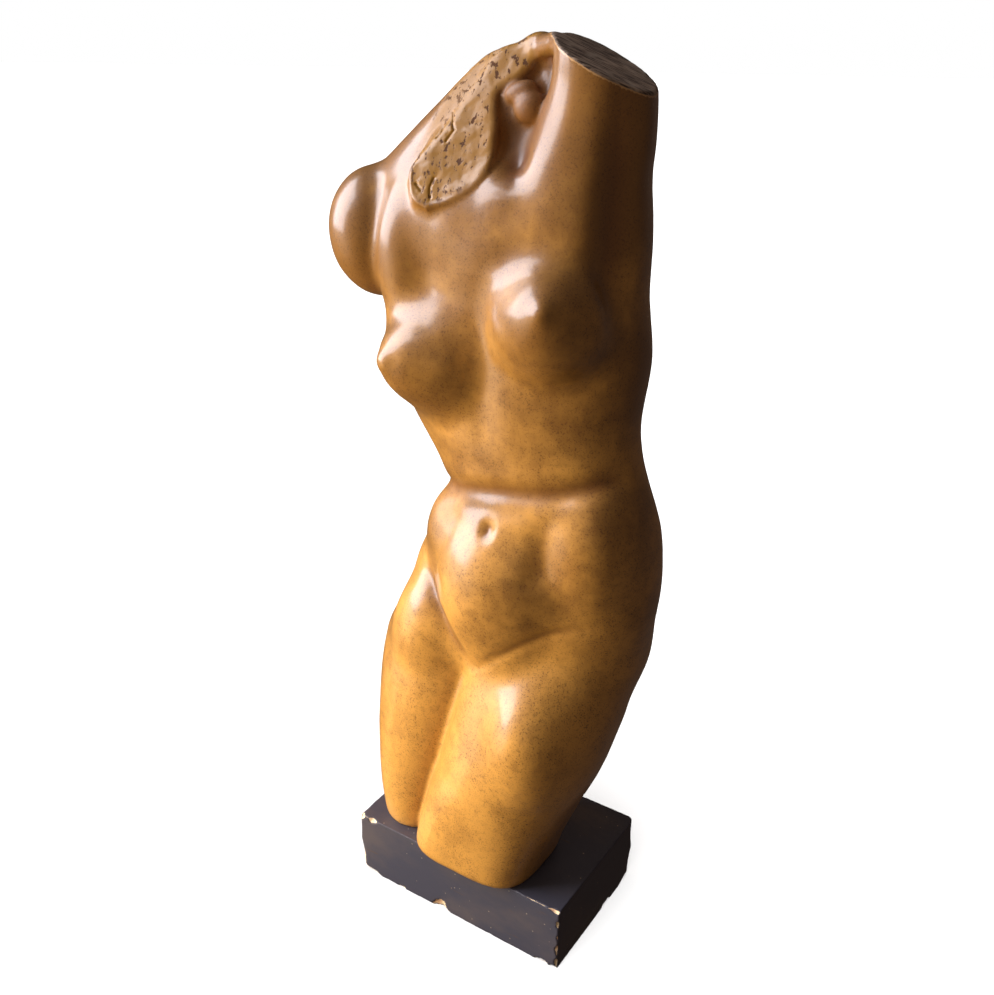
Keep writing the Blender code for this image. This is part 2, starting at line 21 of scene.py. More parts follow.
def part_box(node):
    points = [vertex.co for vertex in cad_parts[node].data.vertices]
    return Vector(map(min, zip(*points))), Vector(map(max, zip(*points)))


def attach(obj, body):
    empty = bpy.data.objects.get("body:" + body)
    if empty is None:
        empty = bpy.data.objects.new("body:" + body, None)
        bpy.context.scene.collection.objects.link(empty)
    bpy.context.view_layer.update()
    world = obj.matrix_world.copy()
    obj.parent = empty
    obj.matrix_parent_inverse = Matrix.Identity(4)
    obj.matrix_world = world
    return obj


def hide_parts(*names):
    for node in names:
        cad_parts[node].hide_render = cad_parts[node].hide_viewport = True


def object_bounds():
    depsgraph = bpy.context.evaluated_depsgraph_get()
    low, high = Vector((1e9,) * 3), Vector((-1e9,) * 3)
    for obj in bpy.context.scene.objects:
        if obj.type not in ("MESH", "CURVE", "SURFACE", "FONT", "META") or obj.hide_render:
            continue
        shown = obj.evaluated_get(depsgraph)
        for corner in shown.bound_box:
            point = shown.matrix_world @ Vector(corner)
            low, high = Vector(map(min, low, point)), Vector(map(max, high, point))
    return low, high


bl_info = {
    "name": "Plaster Venus torso",
    "version": (1, 0, 0),
    "blender": (4, 5, 0),
    "location": "View3D > Sidebar > Torso",
    "description": "Builds a patinated plaster torso, its painted plinth and a studio around them",
    "category": "Object",
}

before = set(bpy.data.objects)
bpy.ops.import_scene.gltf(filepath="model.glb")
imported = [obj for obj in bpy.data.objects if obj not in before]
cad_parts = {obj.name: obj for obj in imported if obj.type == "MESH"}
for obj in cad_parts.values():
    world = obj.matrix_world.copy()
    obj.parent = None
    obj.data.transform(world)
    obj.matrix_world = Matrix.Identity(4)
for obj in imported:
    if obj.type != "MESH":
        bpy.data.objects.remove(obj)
CAD_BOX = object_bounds()
MM = 0.001

# which way each light lies from the figure's middle
WINDOW_WAY = (-0.76, -0.36, 0.50)
FRONT_WAY = (0.05, -0.93, 0.30)
BACK_WAY = (-0.10, 0.95, 0.20)
BOUNCE_PLACE, BOUNCE_AIM = Vector((-1.05, -0.80, 0.10)), Vector((0, 0, 0.17))
FLOOR_LIGHT_WAY = (0.10, -0.62, 0.78)

# cracks in the neck's broken face, seen from the front, in millimetres
CRACKS = (
    ((-43, 667), (-38, 660), (-34, 653)),
    ((-33, 652), (-35, 649), (-37, 645)),
    ((-39, 621), (-40, 615), (-38, 609)),
    ((-51, 617), (-46, 613)),
    ((-12, 704), (-19, 700)),
    ((-46, 657), (-44, 651), (-46, 647)),
)
# soft swells over the smooth figure: middle, reach and rise
SWELLS = (
    ((66, -66, 214), 32, 4.5),
    ((13, -26, 616), 15, 4.0),
    ((18, -55, 372), 8, 2.0),
)
# places where the shellac is duller; round the knot it is painted darker too, as painted shade
KNOT_PLACE = (9, -4, 664)
HIP_PLACE = (-31, -35, 378)
# the rounded edge between the valley beside the neck and the raised arm's front
VALLEY_EDGE = ((40, -16, 682), (38, -17, 665), (34, -22, 645), (28, -27, 627), (16, -31, 613))
VALLEY_EDGE_ROUNDS, VALLEY_EDGE_FADE = 24, (18, 7)
# nothing lower than this belongs to the sawn face
SAWN_LOWEST = 670
# stands for any place that is nowhere near the cut
FAR = 99
# grain of the sawn face: along it, out of it, across it
GRAIN_AXES = ((0.69, 0.63, -0.36), (0.468, 0, 0.884), (0.557, -0.778, -0.295))

Chip = namedtuple("Chip", "centre radii inward")
TOP_FRONT, LOW_FRONT, FRONT_RIGHT, FRONT_LEFT = (0, 1, -1), (0, 1, 1), (-1, 1, 0), (1, 1, 0)
CHIPS = (
    Chip((-104, -69, 62), (4, 4, 5), (1, 1, -1)),
    Chip((-91, -69, 62), (5, 3, 4.5), TOP_FRONT),
    Chip((-105, -69, 25), (2.5, 2.5, 3.5), FRONT_LEFT),
    Chip((-94, -69, 0), (9, 4, 4), LOW_FRONT),
    Chip((-58, -69, 0), (5, 2.2, 2.6), LOW_FRONT),
    Chip((-14, -69, 1), (8, 4.5, 8.5), LOW_FRONT),
    Chip((90, -69, 0), (8, 4, 4), LOW_FRONT),
    Chip((101, -69, 0), (4, 3, 3.5), LOW_FRONT),
    Chip((66, -69, 62.5), (6, 1.8, 1.8), TOP_FRONT),
    Chip((84, -69, 62.5), (15, 1.9, 1.9), TOP_FRONT),
    Chip((101, -69, 62.5), (7, 2.8, 3.2), TOP_FRONT),
    Chip((105, -69, 48), (2.8, 2.8, 4), FRONT_RIGHT),
    Chip((105, -69, 34), (1.9, 1.9, 3), FRONT_RIGHT),
    Chip((105, -69, 21), (2.6, 2.6, 6), FRONT_RIGHT),
    Chip((105, -69, 7), (3, 3, 4.5), FRONT_RIGHT),
    Chip((105, 20, 0), (3, 9, 4), (-1, 0, 1)),
    Chip((40, 69, 62), (8, 3, 3), (0, -1, -1)),
    Chip((-60, 69, 0), (7, 4, 4), (0, -1, 1)),
    Chip((-105, 30, 62), (3, 7, 3), (1, 0, -1)),
)
# corners worn rounder than the rest, and how far round: first the uprights, then whole corners
WORN_UPRIGHTS = (((105, 69, 62), 8), ((105, 69, 0), 10), ((-105, 69, 31), 5))
WORN_CORNERS = (((-105, -69, 0), 7), ((105, 69, 0), 7), ((-105, -69, 62), 2.5))
CORNER_REACH = (30, 30, 45)
UPRIGHT_WEAR = 1.5
# rounding of the edges: the least, then how much broad and fine wear add
LEAST_WEAR, BROAD_WEAR, FINE_WEAR = 0.8, 1.6, 0.6
# how ragged the chips are: how much, and how broad the raggedness is
CHIP_RAGGED, CHIP_GRAIN = 0.30, 5
# corners along a block's edge, measured from its end
EDGE_STATIONS = (0, 0.4, 0.8, 1.2, 1.8, 2.6, 3.8)

# fine relief: cast plaster's unevenness, the torn face of the break, its cracks, the saw's grain
UNEVEN_RISE, UNEVEN_SIZE = 0.22, 26
TORN_RISE, TORN_SIZE, TORN_LEAN, TORN_SUNK = 0.75, 19, 1.8, 0.6
CRACK_DEPTH, CRACK_WIDTH = 0.9, 0.9
GRAIN_RISE, GRAIN_SIZE, GRAIN_DRAWN = 0.22, 3.2, 0.85
SHARP_ANGLE = 50
SENSOR_WIDTH = 36
FLOOR_SIDES = 96

FIGURE_NODE, PLINTH_NODE = "figure", "plinth"
BASE_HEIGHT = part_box(FIGURE_NODE)[0].z / MM
# the skin is rounded in below its flat base, then cut
BASE_ROUND, BASE_TUCK = 6.0, 2.0
# how square the ovals are: 2 is an ellipse
SECTION_POWER, ARM_POWER, FOOT_POWER = 2.2, 2.3, 3.6
# laying corners on the surface: test step, flattest slope trusted, longest move
GRADIENT_STEP, LEAST_SLOPE, LONGEST_STEP = 0.5, 0.05, 3.0
PULL_SHARE = 0.5
# how far out the hollows are felt for
HOLLOW_REACHES = (6, 14, 30)
TINY = 1e-9

Furrow = namedtuple("Furrow", "side path width depth fade")
Cut = namedtuple("Cut", "point normal round")

# How softly masses run into each other, in millimetres: from a sharp crease to a long fade
SHARP, CRISP, TIGHT, FOLD, FIRM, SOFT, FULL, FADE = 2, 4, 6, 8, 11, 15, 20, 50
ARM_FADE = 30
SLOPE_FADE, POINT_FADE = 30, 24
POINT_RADII, NIPPLE_RADII = (14, 14, 14), (4, 5, 4)

# sections: height, middle in x and y, half width, reach to the front and to the back
TORSO_SECTIONS = (
    (205, 8, 10, 92, 42, 60),
    (245, 12, 12, 103, 50, 66),
    (300, 21, 10, 107, 60, 68),
    (350, 34, 8, 97, 57, 60),
    (385, 38, 8, 87, 56, 52),
    (405, 31, 8, 87, 53, 48),
    (450, 9, 10, 96, 57, 52),
    (500, 3, 12, 105, 57, 58),
    (550, -5, 14, 106, 56, 60),
    (600, -4, 16, 101, 52, 56),
    (630, -4, 20, 86, 41, 50),
    (660, 4, 26, 56, 20, 42),
    (690, 8, 32, 36, 12, 30),
)
LEFT_LEG_SECTIONS = (
    (40, 10, -27, 54, 49, 44),
    (62, 9, -27, 57, 53, 46),
    (90, 14.5, -24, 59.5, 57, 50),
    (130, 25.5, -18, 63.5, 65, 58),
    (180, 38, -10, 68, 69, 68),
    (230, 46, -2, 69.5, 64, 72),
    (280, 46, 2, 64, 53, 70),
)
RIGHT_LEG_SECTIONS = (
    (40, -66, -12, 32, 43, 40),
    (62, -67, -11, 36, 48, 42),
    (90, -67, -8, 43, 52, 48),
    (130, -63, -4, 52, 56, 58),
    (180, -56, 0, 60, 59, 66),
    (230, -47, 4, 65, 60, 70),
    (280, -38, 6, 60, 56, 68),
)
RAISED_ARM_SECTIONS = (
    (540, 52, 14, 38, 40, 44),
    (590, 49, 14, 42, 47, 44),
    (630, 50, 15, 46, 42, 42),
    (665, 59.5, 15, 38, 35, 39),
    (700, 62, 15, 33, 36, 38),
    (740, 61, 14, 33, 36, 38),
)
TORSO_BOTTOM = 215
TORSO_TOP = 700
LEG_TOP = 290
FOOT_TOP = 150
RAISED_ARM_BOTTOM = 545

NECK_BREAK = Cut((-30, -26, 641), (0.178, -0.884, 0.426), 2)
# outline of the break on its own plane: right and up from the cut's point
NECK_OUTLINE = (
    (-13, -43), (4, -37), (21, -25), (29, -11), (29.5, 13), (25.5, 33), (28, 41.5), (36, 46.5),
    (44, 54), (48, 62), (51, 72), (57, 90), (40, 115), (-30, 115), (-62, 80), (-66, 30),
    (-37, -3), (-31, -21), (-25, -37))
NECK_TOP = Cut((-24, 8, 703), (-0.24, 0, 0.97), 6)
ARM_CUT = Cut((56, 10, 699), (0.468, 0, 0.884), 2.5)
# the soft roll of the break into the neck's right side
NECK_SHOULDER = Cut((-64, 0, 638), (-0.85, 0, 0.53), 24)
SHOULDER_FADE = 28
COLLAR_STEP = 4
NECK_DRAFT = 0.35

FRONT, BACK, LEFT = "front", "back", "left"
FURROWS = (
    # waist crease and the shallow dip under it
    Furrow(
        FRONT, ((-60, 380), (-39, 388), (8, 400), (59, 409), (97, 420), (125, 432)), 8, 4.5, 0.25),
    Furrow(FRONT, ((-20, 382), (20, 389), (60, 392)), 6, 1.5, 0.25),
    # sides of the belly
    Furrow(FRONT, ((62, 394), (64, 364), (60, 334)), 11, 3, 0.3),
    Furrow(FRONT, ((-60, 345), (-36, 330), (-20, 305)), 9, 2, 0.25),
    # groins
    Furrow(FRONT, ((-62, 340), (-40, 308), (-22, 290), (-4, 268), (12, 250)), 8, 4.5, 0.3),
    Furrow(FRONT, ((8, 250), (35, 275), (60, 294), (83, 305), (108, 308)), 4.5, 2, 0.3),
    # valley between the neck and the raised arm
    Furrow(FRONT, ((10, 690), (14, 664), (16, 642), (17, 626), (18, 612)), 10, 10, 0.35),
    # navel and breastbone
    Furrow(FRONT, ((18, 374), (18, 371)), 6, 3.5, 0),
    Furrow(FRONT, ((8, 560), (8, 500), (10, 430)), 12, 2, 0.25),
    # armpit of the raised arm
    Furrow(LEFT, ((-8, 720), (-6, 650), (-10, 600), (-16, 560), (-20, 525)), 13, 6, 0.25),
    # spine, cleft and folds of the seat
    Furrow(BACK, ((-5, 650), (-2, 560), (8, 480), (24, 410), (20, 330)), 13, 6, 0.25),
    Furrow(BACK, ((14, 312), (14, 260), (12, 190)), 8, 9, 0.4),
    Furrow(BACK, ((0, 206), (55, 198), (112, 220)), 8, 3, 0.25),
    Furrow(BACK, ((0, 202), (-50, 192), (-96, 212)), 8, 3, 0.25),
)
# how finely outlines and furrows are rounded, and how far from them they are felt
OUTLINE_STEPS, OUTLINE_REACH = 3, 40
FURROW_STEPS, FURROW_REACH = 6, 3


# ---------------- distances


def union(first, second, radius):
    """Join two distances with a fillet of about this radius."""
    share = np.clip(0.5 + 0.5 * (second - first) / radius, 0, 1)
    return second * (1 - share) + first * share - radius * share * (1 - share)


def trim(first, second, radius):
    """Keep what lies inside both distances, with the edge rounded."""
    return -union(-first, -second, radius)


def unit(vector):
    """The same direction at length one."""
    vector = np.array(vector, float)
    return vector / np.linalg.norm(vector)


def beyond(points, cut):
    """How far each point lies past a cut's plane."""
    return (points - np.array(cut.point)) @ unit(cut.normal)


def curvatures(knots, values):
    """Second derivatives of the natural cubic spline through the knots."""
    count = len(knots)
    gaps = np.diff(knots)
    system = np.eye(count)
    bends = np.zeros(values.shape)
    for i in range(1, count - 1):
        system[i, i - 1:i + 2] = gaps[i - 1], 2 * (gaps[i - 1] + gaps[i]), gaps[i]
        rise = (values[i + 1] - values[i]) / gaps[i]
        bends[i] = 6 * (rise - (values[i] - values[i - 1]) / gaps[i - 1])
    return np.linalg.solve(system, bends)


def spline(knots, values, places):
    """Read a natural cubic spline at the places, held level past its ends."""
    bends = curvatures(knots, values)
    places = np.clip(places, knots[0], knots[-1])
    span = np.clip(np.searchsorted(knots, places) - 1, 0, len(knots) - 2)
    gap = (knots[span + 1] - knots[span])[:, None]
    after = (places - knots[span])[:, None] / gap
    before = 1 - after
    bend = (before**3 - before) * bends[span] + (after**3 - after) * bends[span + 1]
    return before * values[span] + after * values[span + 1] + bend * gap**2 / 6


def rounded_path(corners, steps):
    """A chain of points through the corners along a Catmull-Rom curve."""
    corners = np.array(corners, float)
    first = 2 * corners[0] - corners[1]
    last = 2 * corners[-1] - corners[-2]
    padded = np.vstack([first, corners, last])
    chain = []
    for a, b, c, d in zip(padded, padded[1:], padded[2:], padded[3:]):
        for step in range(steps):
            t = step / steps
            square = 2 * a - 5 * b + 4 * c - d
            cube = 3 * b - a - 3 * c + d
            chain.append(b + 0.5 * t * (c - a + t * (square + t * cube)))
    chain.append(corners[-1])
    return np.array(chain)


def tube(sections, power=2.0, turn=0, foot_power=0):
    """A limb or trunk of oval sections stacked up the Z axis, squarer at the foot if asked."""
    table = np.array(sections, float)
    right = np.array((cos(radians(turn)), sin(radians(turn))))
    backward = np.array((-right[1], right[0]))

    def distance(points):
        x, y, half_width, front, back = spline(table[:, 0], table[:, 1:], points[:, 2]).T
        flat = points[:, :2] - np.stack([x, y], axis=1)
        depth = np.where(flat @ backward < 0, front, back)
        across = np.abs(flat @ right) / half_width
        along = np.abs(flat @ backward) / depth
        foot = np.clip((FOOT_TOP - points[:, 2]) / (FOOT_TOP - BASE_HEIGHT), 0, 1)
        bulge = power + ((foot_power or power) - power) * foot
        size = np.maximum((across**bulge + along**bulge)**(1 / bulge), 1e-6)
        slope = np.hypot(across**(bulge - 1) / half_width, along**(bulge - 1) / depth)
        slope = slope / size**(bulge - 1)
        return (size - 1) / np.maximum(slope, 1 / np.maximum(half_width, depth))

    return distance


def ball(centre, radii, turn=(0, 0, 0)):
    """An ellipsoid, which may be turned."""
    radii = np.array(radii, float)
    axes = np.array(Euler([radians(angle) for angle in turn]).to_matrix())

    def distance(points):
        local = (points - np.array(centre, float)) @ axes
        near = np.linalg.norm(local / radii, axis=1)
        slope = np.linalg.norm(local / radii**2, axis=1)
        return near * (near - 1) / np.maximum(slope, TINY)

    return distance


def round_cone(start, end, start_radius, end_radius):
    """Two balls and the cone that wraps them."""
    axis = np.array(end, float) - np.array(start, float)
    length = np.linalg.norm(axis)
    way = axis / length
    shrink = (start_radius - end_radius) / length
    lean = np.sqrt(1 - shrink**2)

    def distance(points):
        local = points - np.array(start, float)
        along = local @ way
        away = np.linalg.norm(local - along[:, None] * way, axis=1)
        touch = np.clip((along + away * shrink / lean) / length, 0, 1)
        radius = start_radius + (end_radius - start_radius) * touch
        return np.hypot(away, along - touch * length) - radius

    return distance


def inside_outline(flat, chain):
    """Which flat places a closed chain of points goes round."""
    across, up = flat.T
    inside = np.zeros(len(flat), bool)
    for start, end in zip(chain, chain[1:]):
        step = end - start
        level = (up > start[1]) != (up > end[1])
        crossing = start[0] + (up - start[1]) * step[0] / (step[1] or 1)
        inside ^= level & (across < crossing)
    return inside


def prism(axes, point, outline):
    """A straight block whose closed rounded outline is drawn on a plane through the point."""
    chain = rounded_path((*outline, outline[0]), OUTLINE_STEPS)
    low, high = chain.min(axis=0) - OUTLINE_REACH, chain.max(axis=0) + OUTLINE_REACH

    def distance(points):
        flat = (points - np.array(point, float)) @ np.array(axes).T
        near = ((flat > low) & (flat < high)).all(axis=1)
        away, _ = nearest_on_path(flat[near], chain)
        result = np.full(len(points), float(OUTLINE_REACH))
        result[near] = np.where(inside_outline(flat[near], chain), -away, away)
        return result

    return distance


def breast(lobe, slope, point, nipple):
    """A full lobe, its slope down from the chest, a soft point and the nipple."""
    tip, end = ball(point, POINT_RADII), ball(nipple, NIPPLE_RADII)

    def distance(points):
        body = union(lobe(points), slope(points), SLOPE_FADE)
        body = union(body, tip(points), POINT_FADE)
        return union(body, end(points), FIRM)

    return distance


TORSO = tube(TORSO_SECTIONS, SECTION_POWER)
LEFT_LEG = tube(LEFT_LEG_SECTIONS, SECTION_POWER, foot_power=FOOT_POWER)
RIGHT_LEG = tube(RIGHT_LEG_SECTIONS)
RAISED_ARM = tube(RAISED_ARM_SECTIONS, ARM_POWER, turn=12)

LEFT_SEAT = ball((60, 26, 268), (57, 58, 62))
RIGHT_SEAT = ball((-32, 28, 258), (58, 56, 60))
BELLY = ball((17, -30, 327), (52, 38, 46))
PUBIS = ball((12, -27, 290), (45, 36, 46))
LEFT_THIGH = ball((62, -24, 195), (44, 60, 68))
RIGHT_THIGH = ball((-48, -19, 262), (38, 40, 52), (0, 17, 0))
STERNUM = ball((-4, -8, 580), (46, 32, 38))
LEFT_HIP_CREST = ball((90, -14, 366), (30, 32, 48))
RIGHT_HIP_CREST = ball((-34, -12, 345), (24, 28, 40))
LEFT_SHOULDER_BLADE = ball((46, 50, 590), (34, 24, 50), (0, 14, 0))
RIGHT_SHOULDER_BLADE = ball((-52, 48, 566), (34, 26, 46), (0, -10, 0))
LOWERED_ARM_STUMP = ball((-115, -2, 574), (37, 44, 49), (0, -9, 0))
RIGHT_CHEST = ball((-72, -19, 563), (27, 28, 55))
SHOULDER_SLOPE = round_cone((-96, 12, 599), (-20, 16, 668), 34, 31)
NECK = round_cone((-31, -22, 616), (-5, 8, 692), 33.5, 28.5)
NECK_TO_ARM = round_cone((-8, 14, 690), (14, 24, 704), 25, 18)
BREAK_RIGHT = unit(np.cross((0, 0, 1), unit(NECK_BREAK.normal)))
BREAK_UP = np.cross(unit(NECK_BREAK.normal), BREAK_RIGHT)
NECK_SIDES = prism((BREAK_RIGHT, BREAK_UP), NECK_BREAK.point, NECK_OUTLINE)
WEB = round_cone((8, 19, 704), (34, 3, 708), 8, 7)
NECK_KNOB = ball((16, -2, 668), (12, 9, 11))
NECK_LOCK = ball((7, 0, 677), (13, 8, 7), (0, -20, 0))
NECK_HOLLOW = round_cone((17, 23, 690), (24, 14, 674), 10, 9)
COLLAR = ball((-40, -14, 592), (38, 26, 34))
LEFT_BREAST = breast(
    ball((54, -32, 529), (41, 34, 37)), ball((48, -16, 546), (38, 27, 30)),
    (63, -53, 541), (69, -66, 547))
RIGHT_BREAST = breast(
    ball((-39, -31, 488), (41, 35, 37)), ball((-48, -17, 506), (38, 27, 30)),
    (-55, -53, 493), (-62, -66, 494))


def with_masses(body, points, masses, radius):
    """The body with each of the masses joined on by this fillet."""
    for mass in masses:
        body = union(body, mass(points), radius)
    return body


def lower_body(points):
    """Torso, legs, seat, belly and hip crests."""
    height = points[:, 2]
    body = trim(TORSO(points), TORSO_BOTTOM - height, FADE)
    body = trim(body, height - TORSO_TOP, FULL)
    left_leg = trim(LEFT_LEG(points), height - LEG_TOP, FADE)
    right_leg = trim(RIGHT_LEG(points), height - LEG_TOP, FADE)
    body = union(body, union(left_leg, right_leg, TIGHT), SOFT)
    seat = union(LEFT_SEAT(points), RIGHT_SEAT(points), FOLD)
    body = union(body, seat, SOFT)
    body = with_masses(body, points, (PUBIS, BELLY), FULL)
    body = with_masses(body, points, (LEFT_THIGH, RIGHT_THIGH), FIRM)
    return with_masses(body, points, (LEFT_HIP_CREST, RIGHT_HIP_CREST), SOFT)


def upper_body(points, body):
    """Raised arm, shoulder blades, chest, breasts, shoulder slope and the lowered arm's stump."""
    arm = trim(RAISED_ARM(points), RAISED_ARM_BOTTOM - points[:, 2], ARM_FADE)
    body = union(body, arm, SOFT)
    body = with_masses(body, points, (LEFT_SHOULDER_BLADE, RIGHT_SHOULDER_BLADE), SOFT)
    under_break = beyond(points, NECK_BREAK) + COLLAR_STEP
    body = union(body, trim(STERNUM(points), under_break, FIRM), FULL)
    body = with_masses(body, points, (RIGHT_CHEST, LEFT_BREAST, RIGHT_BREAST), SOFT)
    body = union(body, trim(SHOULDER_SLOPE(points), under_break, FOLD), FULL)
    body = union(body, trim(COLLAR(points), under_break, CRISP), SOFT)
    return union(body, LOWERED_ARM_STUMP(points), FOLD)


def shoulder_share(points):
    """1 along the break's soft right side, fading to 0 toward its crisp edges."""
    across = np.clip(1 + beyond(points, NECK_SHOULDER) / SHOULDER_FADE, 0, 1)
    upward = np.clip((points[:, 2] - NECK_SHOULDER.point[2] + 10) / SHOULDER_FADE, 0, 1)
    return across * upward


def whole_neck(points):
    """The neck before it was broken."""
    return union(NECK(points), NECK_TO_ARM(points), TIGHT)


def neck_stump(points):
    """The neck, broken off along a slanting face, its top, and the web to the raised arm."""
    edge = NECK_BREAK.round + NECK_SHOULDER.round * shoulder_share(points)
    neck = trim(whole_neck(points), beyond(points, NECK_BREAK), edge)
    behind = np.minimum(beyond(points, NECK_BREAK), 0)
    neck = trim(neck, NECK_SIDES(points) + NECK_DRAFT * behind, NECK_BREAK.round)
    neck = trim(neck, beyond(points, NECK_TOP), NECK_TOP.round)
    neck = with_masses(neck, points, (WEB, NECK_HOLLOW), TIGHT)
    knob = union(NECK_KNOB(points), NECK_LOCK(points), SHARP)
    return union(neck, knob, CRISP)


def side_share(points, side):
    """1 on the side that a furrow is drawn on, fading to 0 round the flank."""
    x, y = points[:, 0], points[:, 1]
    past_edge = {FRONT: -y / 15, BACK: (y - 20) / 20, LEFT: (x - 55) / 30}
    return np.clip(past_edge[side], 0, 1)


def nearest_on_path(flat, chain):
    """Distance to a chain of points, and how far along it the nearest place is (0 to 1)."""
    best = np.full(len(flat), np.inf)
    along = np.zeros(len(flat))
    for i, (start, end) in enumerate(zip(chain, chain[1:])):
        step = end - start
        t = np.clip((flat - start) @ step / (step @ step), 0, 1)
        away = np.linalg.norm(flat - start - t[:, None] * step, axis=1)
        closer = away < best
        best = np.where(closer, away, best)
        along = np.where(closer, (i + t) / (len(chain) - 1), along)
    return best, along


def furrow_depth(points, furrow):
    """How deep a furrow is at each point."""
    plane = (1, 2) if furrow.side == LEFT else (0, 2)
    chain = rounded_path(furrow.path, FURROW_STEPS)
    flat = points[:, plane]
    reach = FURROW_REACH * furrow.width
    share = side_share(points, furrow.side)
    inside = ((flat > chain.min(axis=0) - reach) & (flat < chain.max(axis=0) + reach)).all(axis=1)
    near = inside & (share > 0)
    away, along = nearest_on_path(flat[near], chain)
    dip = np.exp(-(away / furrow.width)**2)
    if furrow.fade:
        dip = dip * np.clip(np.minimum(along, 1 - along) / furrow.fade, 0, 1)**0.7
    depth = np.zeros(len(points))
    depth[near] = furrow.depth * dip * share[near]
    return depth


def figure_distance(points):
    """The whole figure: its masses, furrows, neck stump and cuts."""
    body = upper_body(points, lower_body(points))
    for furrow in FURROWS:
        body = body + furrow_depth(points, furrow)
    body = union(body, neck_stump(points), CRISP)
    body = trim(body, beyond(points, ARM_CUT) - 1, ARM_CUT.round)
    return trim(body, BASE_HEIGHT - BASE_TUCK - points[:, 2], BASE_ROUND)


# ---------------- laying the skin


def remeshed(mesh, voxel):
    """The mesh's surface with evenly spaced corners."""
    holder = bpy.data.objects.new("holder", mesh)
    bpy.context.collection.objects.link(holder)
    modifier = holder.modifiers.new("even", "REMESH")
    modifier.mode = "VOXEL"
    modifier.voxel_size = voxel
    graph = bpy.context.evaluated_depsgraph_get()
    result = bpy.data.meshes.new_from_object(holder.evaluated_get(graph))
    bpy.data.objects.remove(holder)
    return result


def mesh_of(name, work):
    """A mesh made of a bmesh, which is let go."""
    mesh = bpy.data.meshes.new(name)
    work.to_mesh(mesh)
    work.free()
    return mesh


def corners_of(mesh):
    """The mesh's corners as an array of x, y, z rows."""
    places = np.zeros(len(mesh.vertices) * 3)
    mesh.vertices.foreach_get("co", places)
    return places.reshape(-1, 3)


def put_corners(mesh, places):
    """Move the mesh's corners to these places."""
    mesh.vertices.foreach_set("co", places.ravel())
    mesh.update()


def gradient(points):
    """Which way the figure's distance grows, and how fast."""
    steps = np.eye(3) * GRADIENT_STEP
    rise = [figure_distance(points + s) - figure_distance(points - s) for s in steps]
    return np.stack(rise, axis=1) / (2 * GRADIENT_STEP)


def outward(points):
    """Unit normals of the figure's surface at the points."""
    slope = gradient(points)
    return slope / np.maximum(np.linalg.norm(slope, axis=1, keepdims=True), TINY)


def onto_figure(points, rounds=1):
    """Step each point down the slope of the distance until it lies on the figure."""
    for _ in range(rounds):
        slope = gradient(points)
        steep = np.maximum((slope**2).sum(axis=1), LEAST_SLOPE)
        step = np.clip(figure_distance(points) / steep, -LONGEST_STEP, LONGEST_STEP)
        points = points - step[:, None] * slope
    return points


def toward_neighbours(mesh, points):
    """From each corner to the middle of its neighbours."""
    edges = np.zeros(len(mesh.edges) * 2, int)
    mesh.edges.foreach_get("vertices", edges)
    one, other = edges.reshape(-1, 2).T
    total = np.zeros_like(points)
    count = np.zeros(len(points))
    for a, b in ((one, other), (other, one)):
        np.add.at(total, a, points[b])
        np.add.at(count, a, 1)
    return total / count[:, None] - points


def evened(mesh, points):
    """Slide points toward the middle of their neighbours, but only along the surface."""
    pull = toward_neighbours(mesh, points)
    normals = outward(points)
    pull = pull - (pull * normals).sum(axis=1, keepdims=True) * normals
    return points + PULL_SHARE * pull


def softened(mesh, points, where):
    """Wear the skin smoother where the share is above 0."""
    for _ in range(VALLEY_EDGE_ROUNDS):
        points = points + PULL_SHARE * where[:, None] * toward_neighbours(mesh, points)
    return points


def skin_over_figure(voxel, passes):
    """A fine closed skin over the CAD figure, laid on its smooth surface, in millimetres."""
    copy = bmesh.new()
    copy.from_mesh(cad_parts[FIGURE_NODE].data)
    bmesh.ops.remove_doubles(copy, verts=copy.verts, dist=0.00001)
    bmesh.ops.scale(copy, vec=(1 / MM,) * 3, verts=copy.verts)
    mesh = remeshed(mesh_of("skin", copy), voxel)
    points = onto_figure(corners_of(mesh), 2)
    for _ in range(passes):
        points = onto_figure(evened(mesh, points))
    put_corners(mesh, points)
    return mesh


def refined(mesh, chosen):
    """Cut the faces whose middles are chosen into four and lay the new points down."""
    work = bmesh.new()
    work.from_mesh(mesh)
    picked = chosen(np.array([face.calc_center_median() for face in work.faces]))
    edges = {edge for face, pick in zip(work.faces, picked) if pick for edge in face.edges}
    bmesh.ops.subdivide_edges(work, edges=list(edges), cuts=1, use_grid_fill=True)
    work.to_mesh(mesh)
    work.free()
    put_corners(mesh, onto_figure(corners_of(mesh)))


def hollowness(points, normals):
    """0 in the open, toward 1 where the surface around the point closes over it."""
    closed = np.zeros(len(points))
    for reach in HOLLOW_REACHES:
        closed += np.clip(1 - figure_distance(points + reach * normals) / reach, 0, 1)
    return closed / len(HOLLOW_REACHES)


def drift(points, size, octaves=3):
    """Soft noise from -1 to 1 whose features are about this size across."""
    rows = points / size
    return np.array([noise.fractal(Vector(row), 1.0, 2.0, octaves) for row in rows])


# ---------------- figure


def ramp(values, start, end):
    """0 at start and 1 at end, eased."""
    share = np.clip((values - start) / (end - start), 0, 1)
    return share * share * (3 - 2 * share)


def away_from(points, place, radii=1):
    """How far each point is from a place, counted in these radii."""
    return np.linalg.norm((points - np.array(place)) / radii, axis=1)


def near_place(points, place, outer, inner):
    """1 near a place, fading to 0 between the inner and the outer distance."""
    return ramp(away_from(points, place), outer, inner)


def on_break(points):
    """Which points lie on or near the broken face of the neck."""
    near = np.abs(beyond(points, NECK_BREAK)) < 4
    return near & (NECK_SIDES(points) < 2) & (whole_neck(points) < 8)


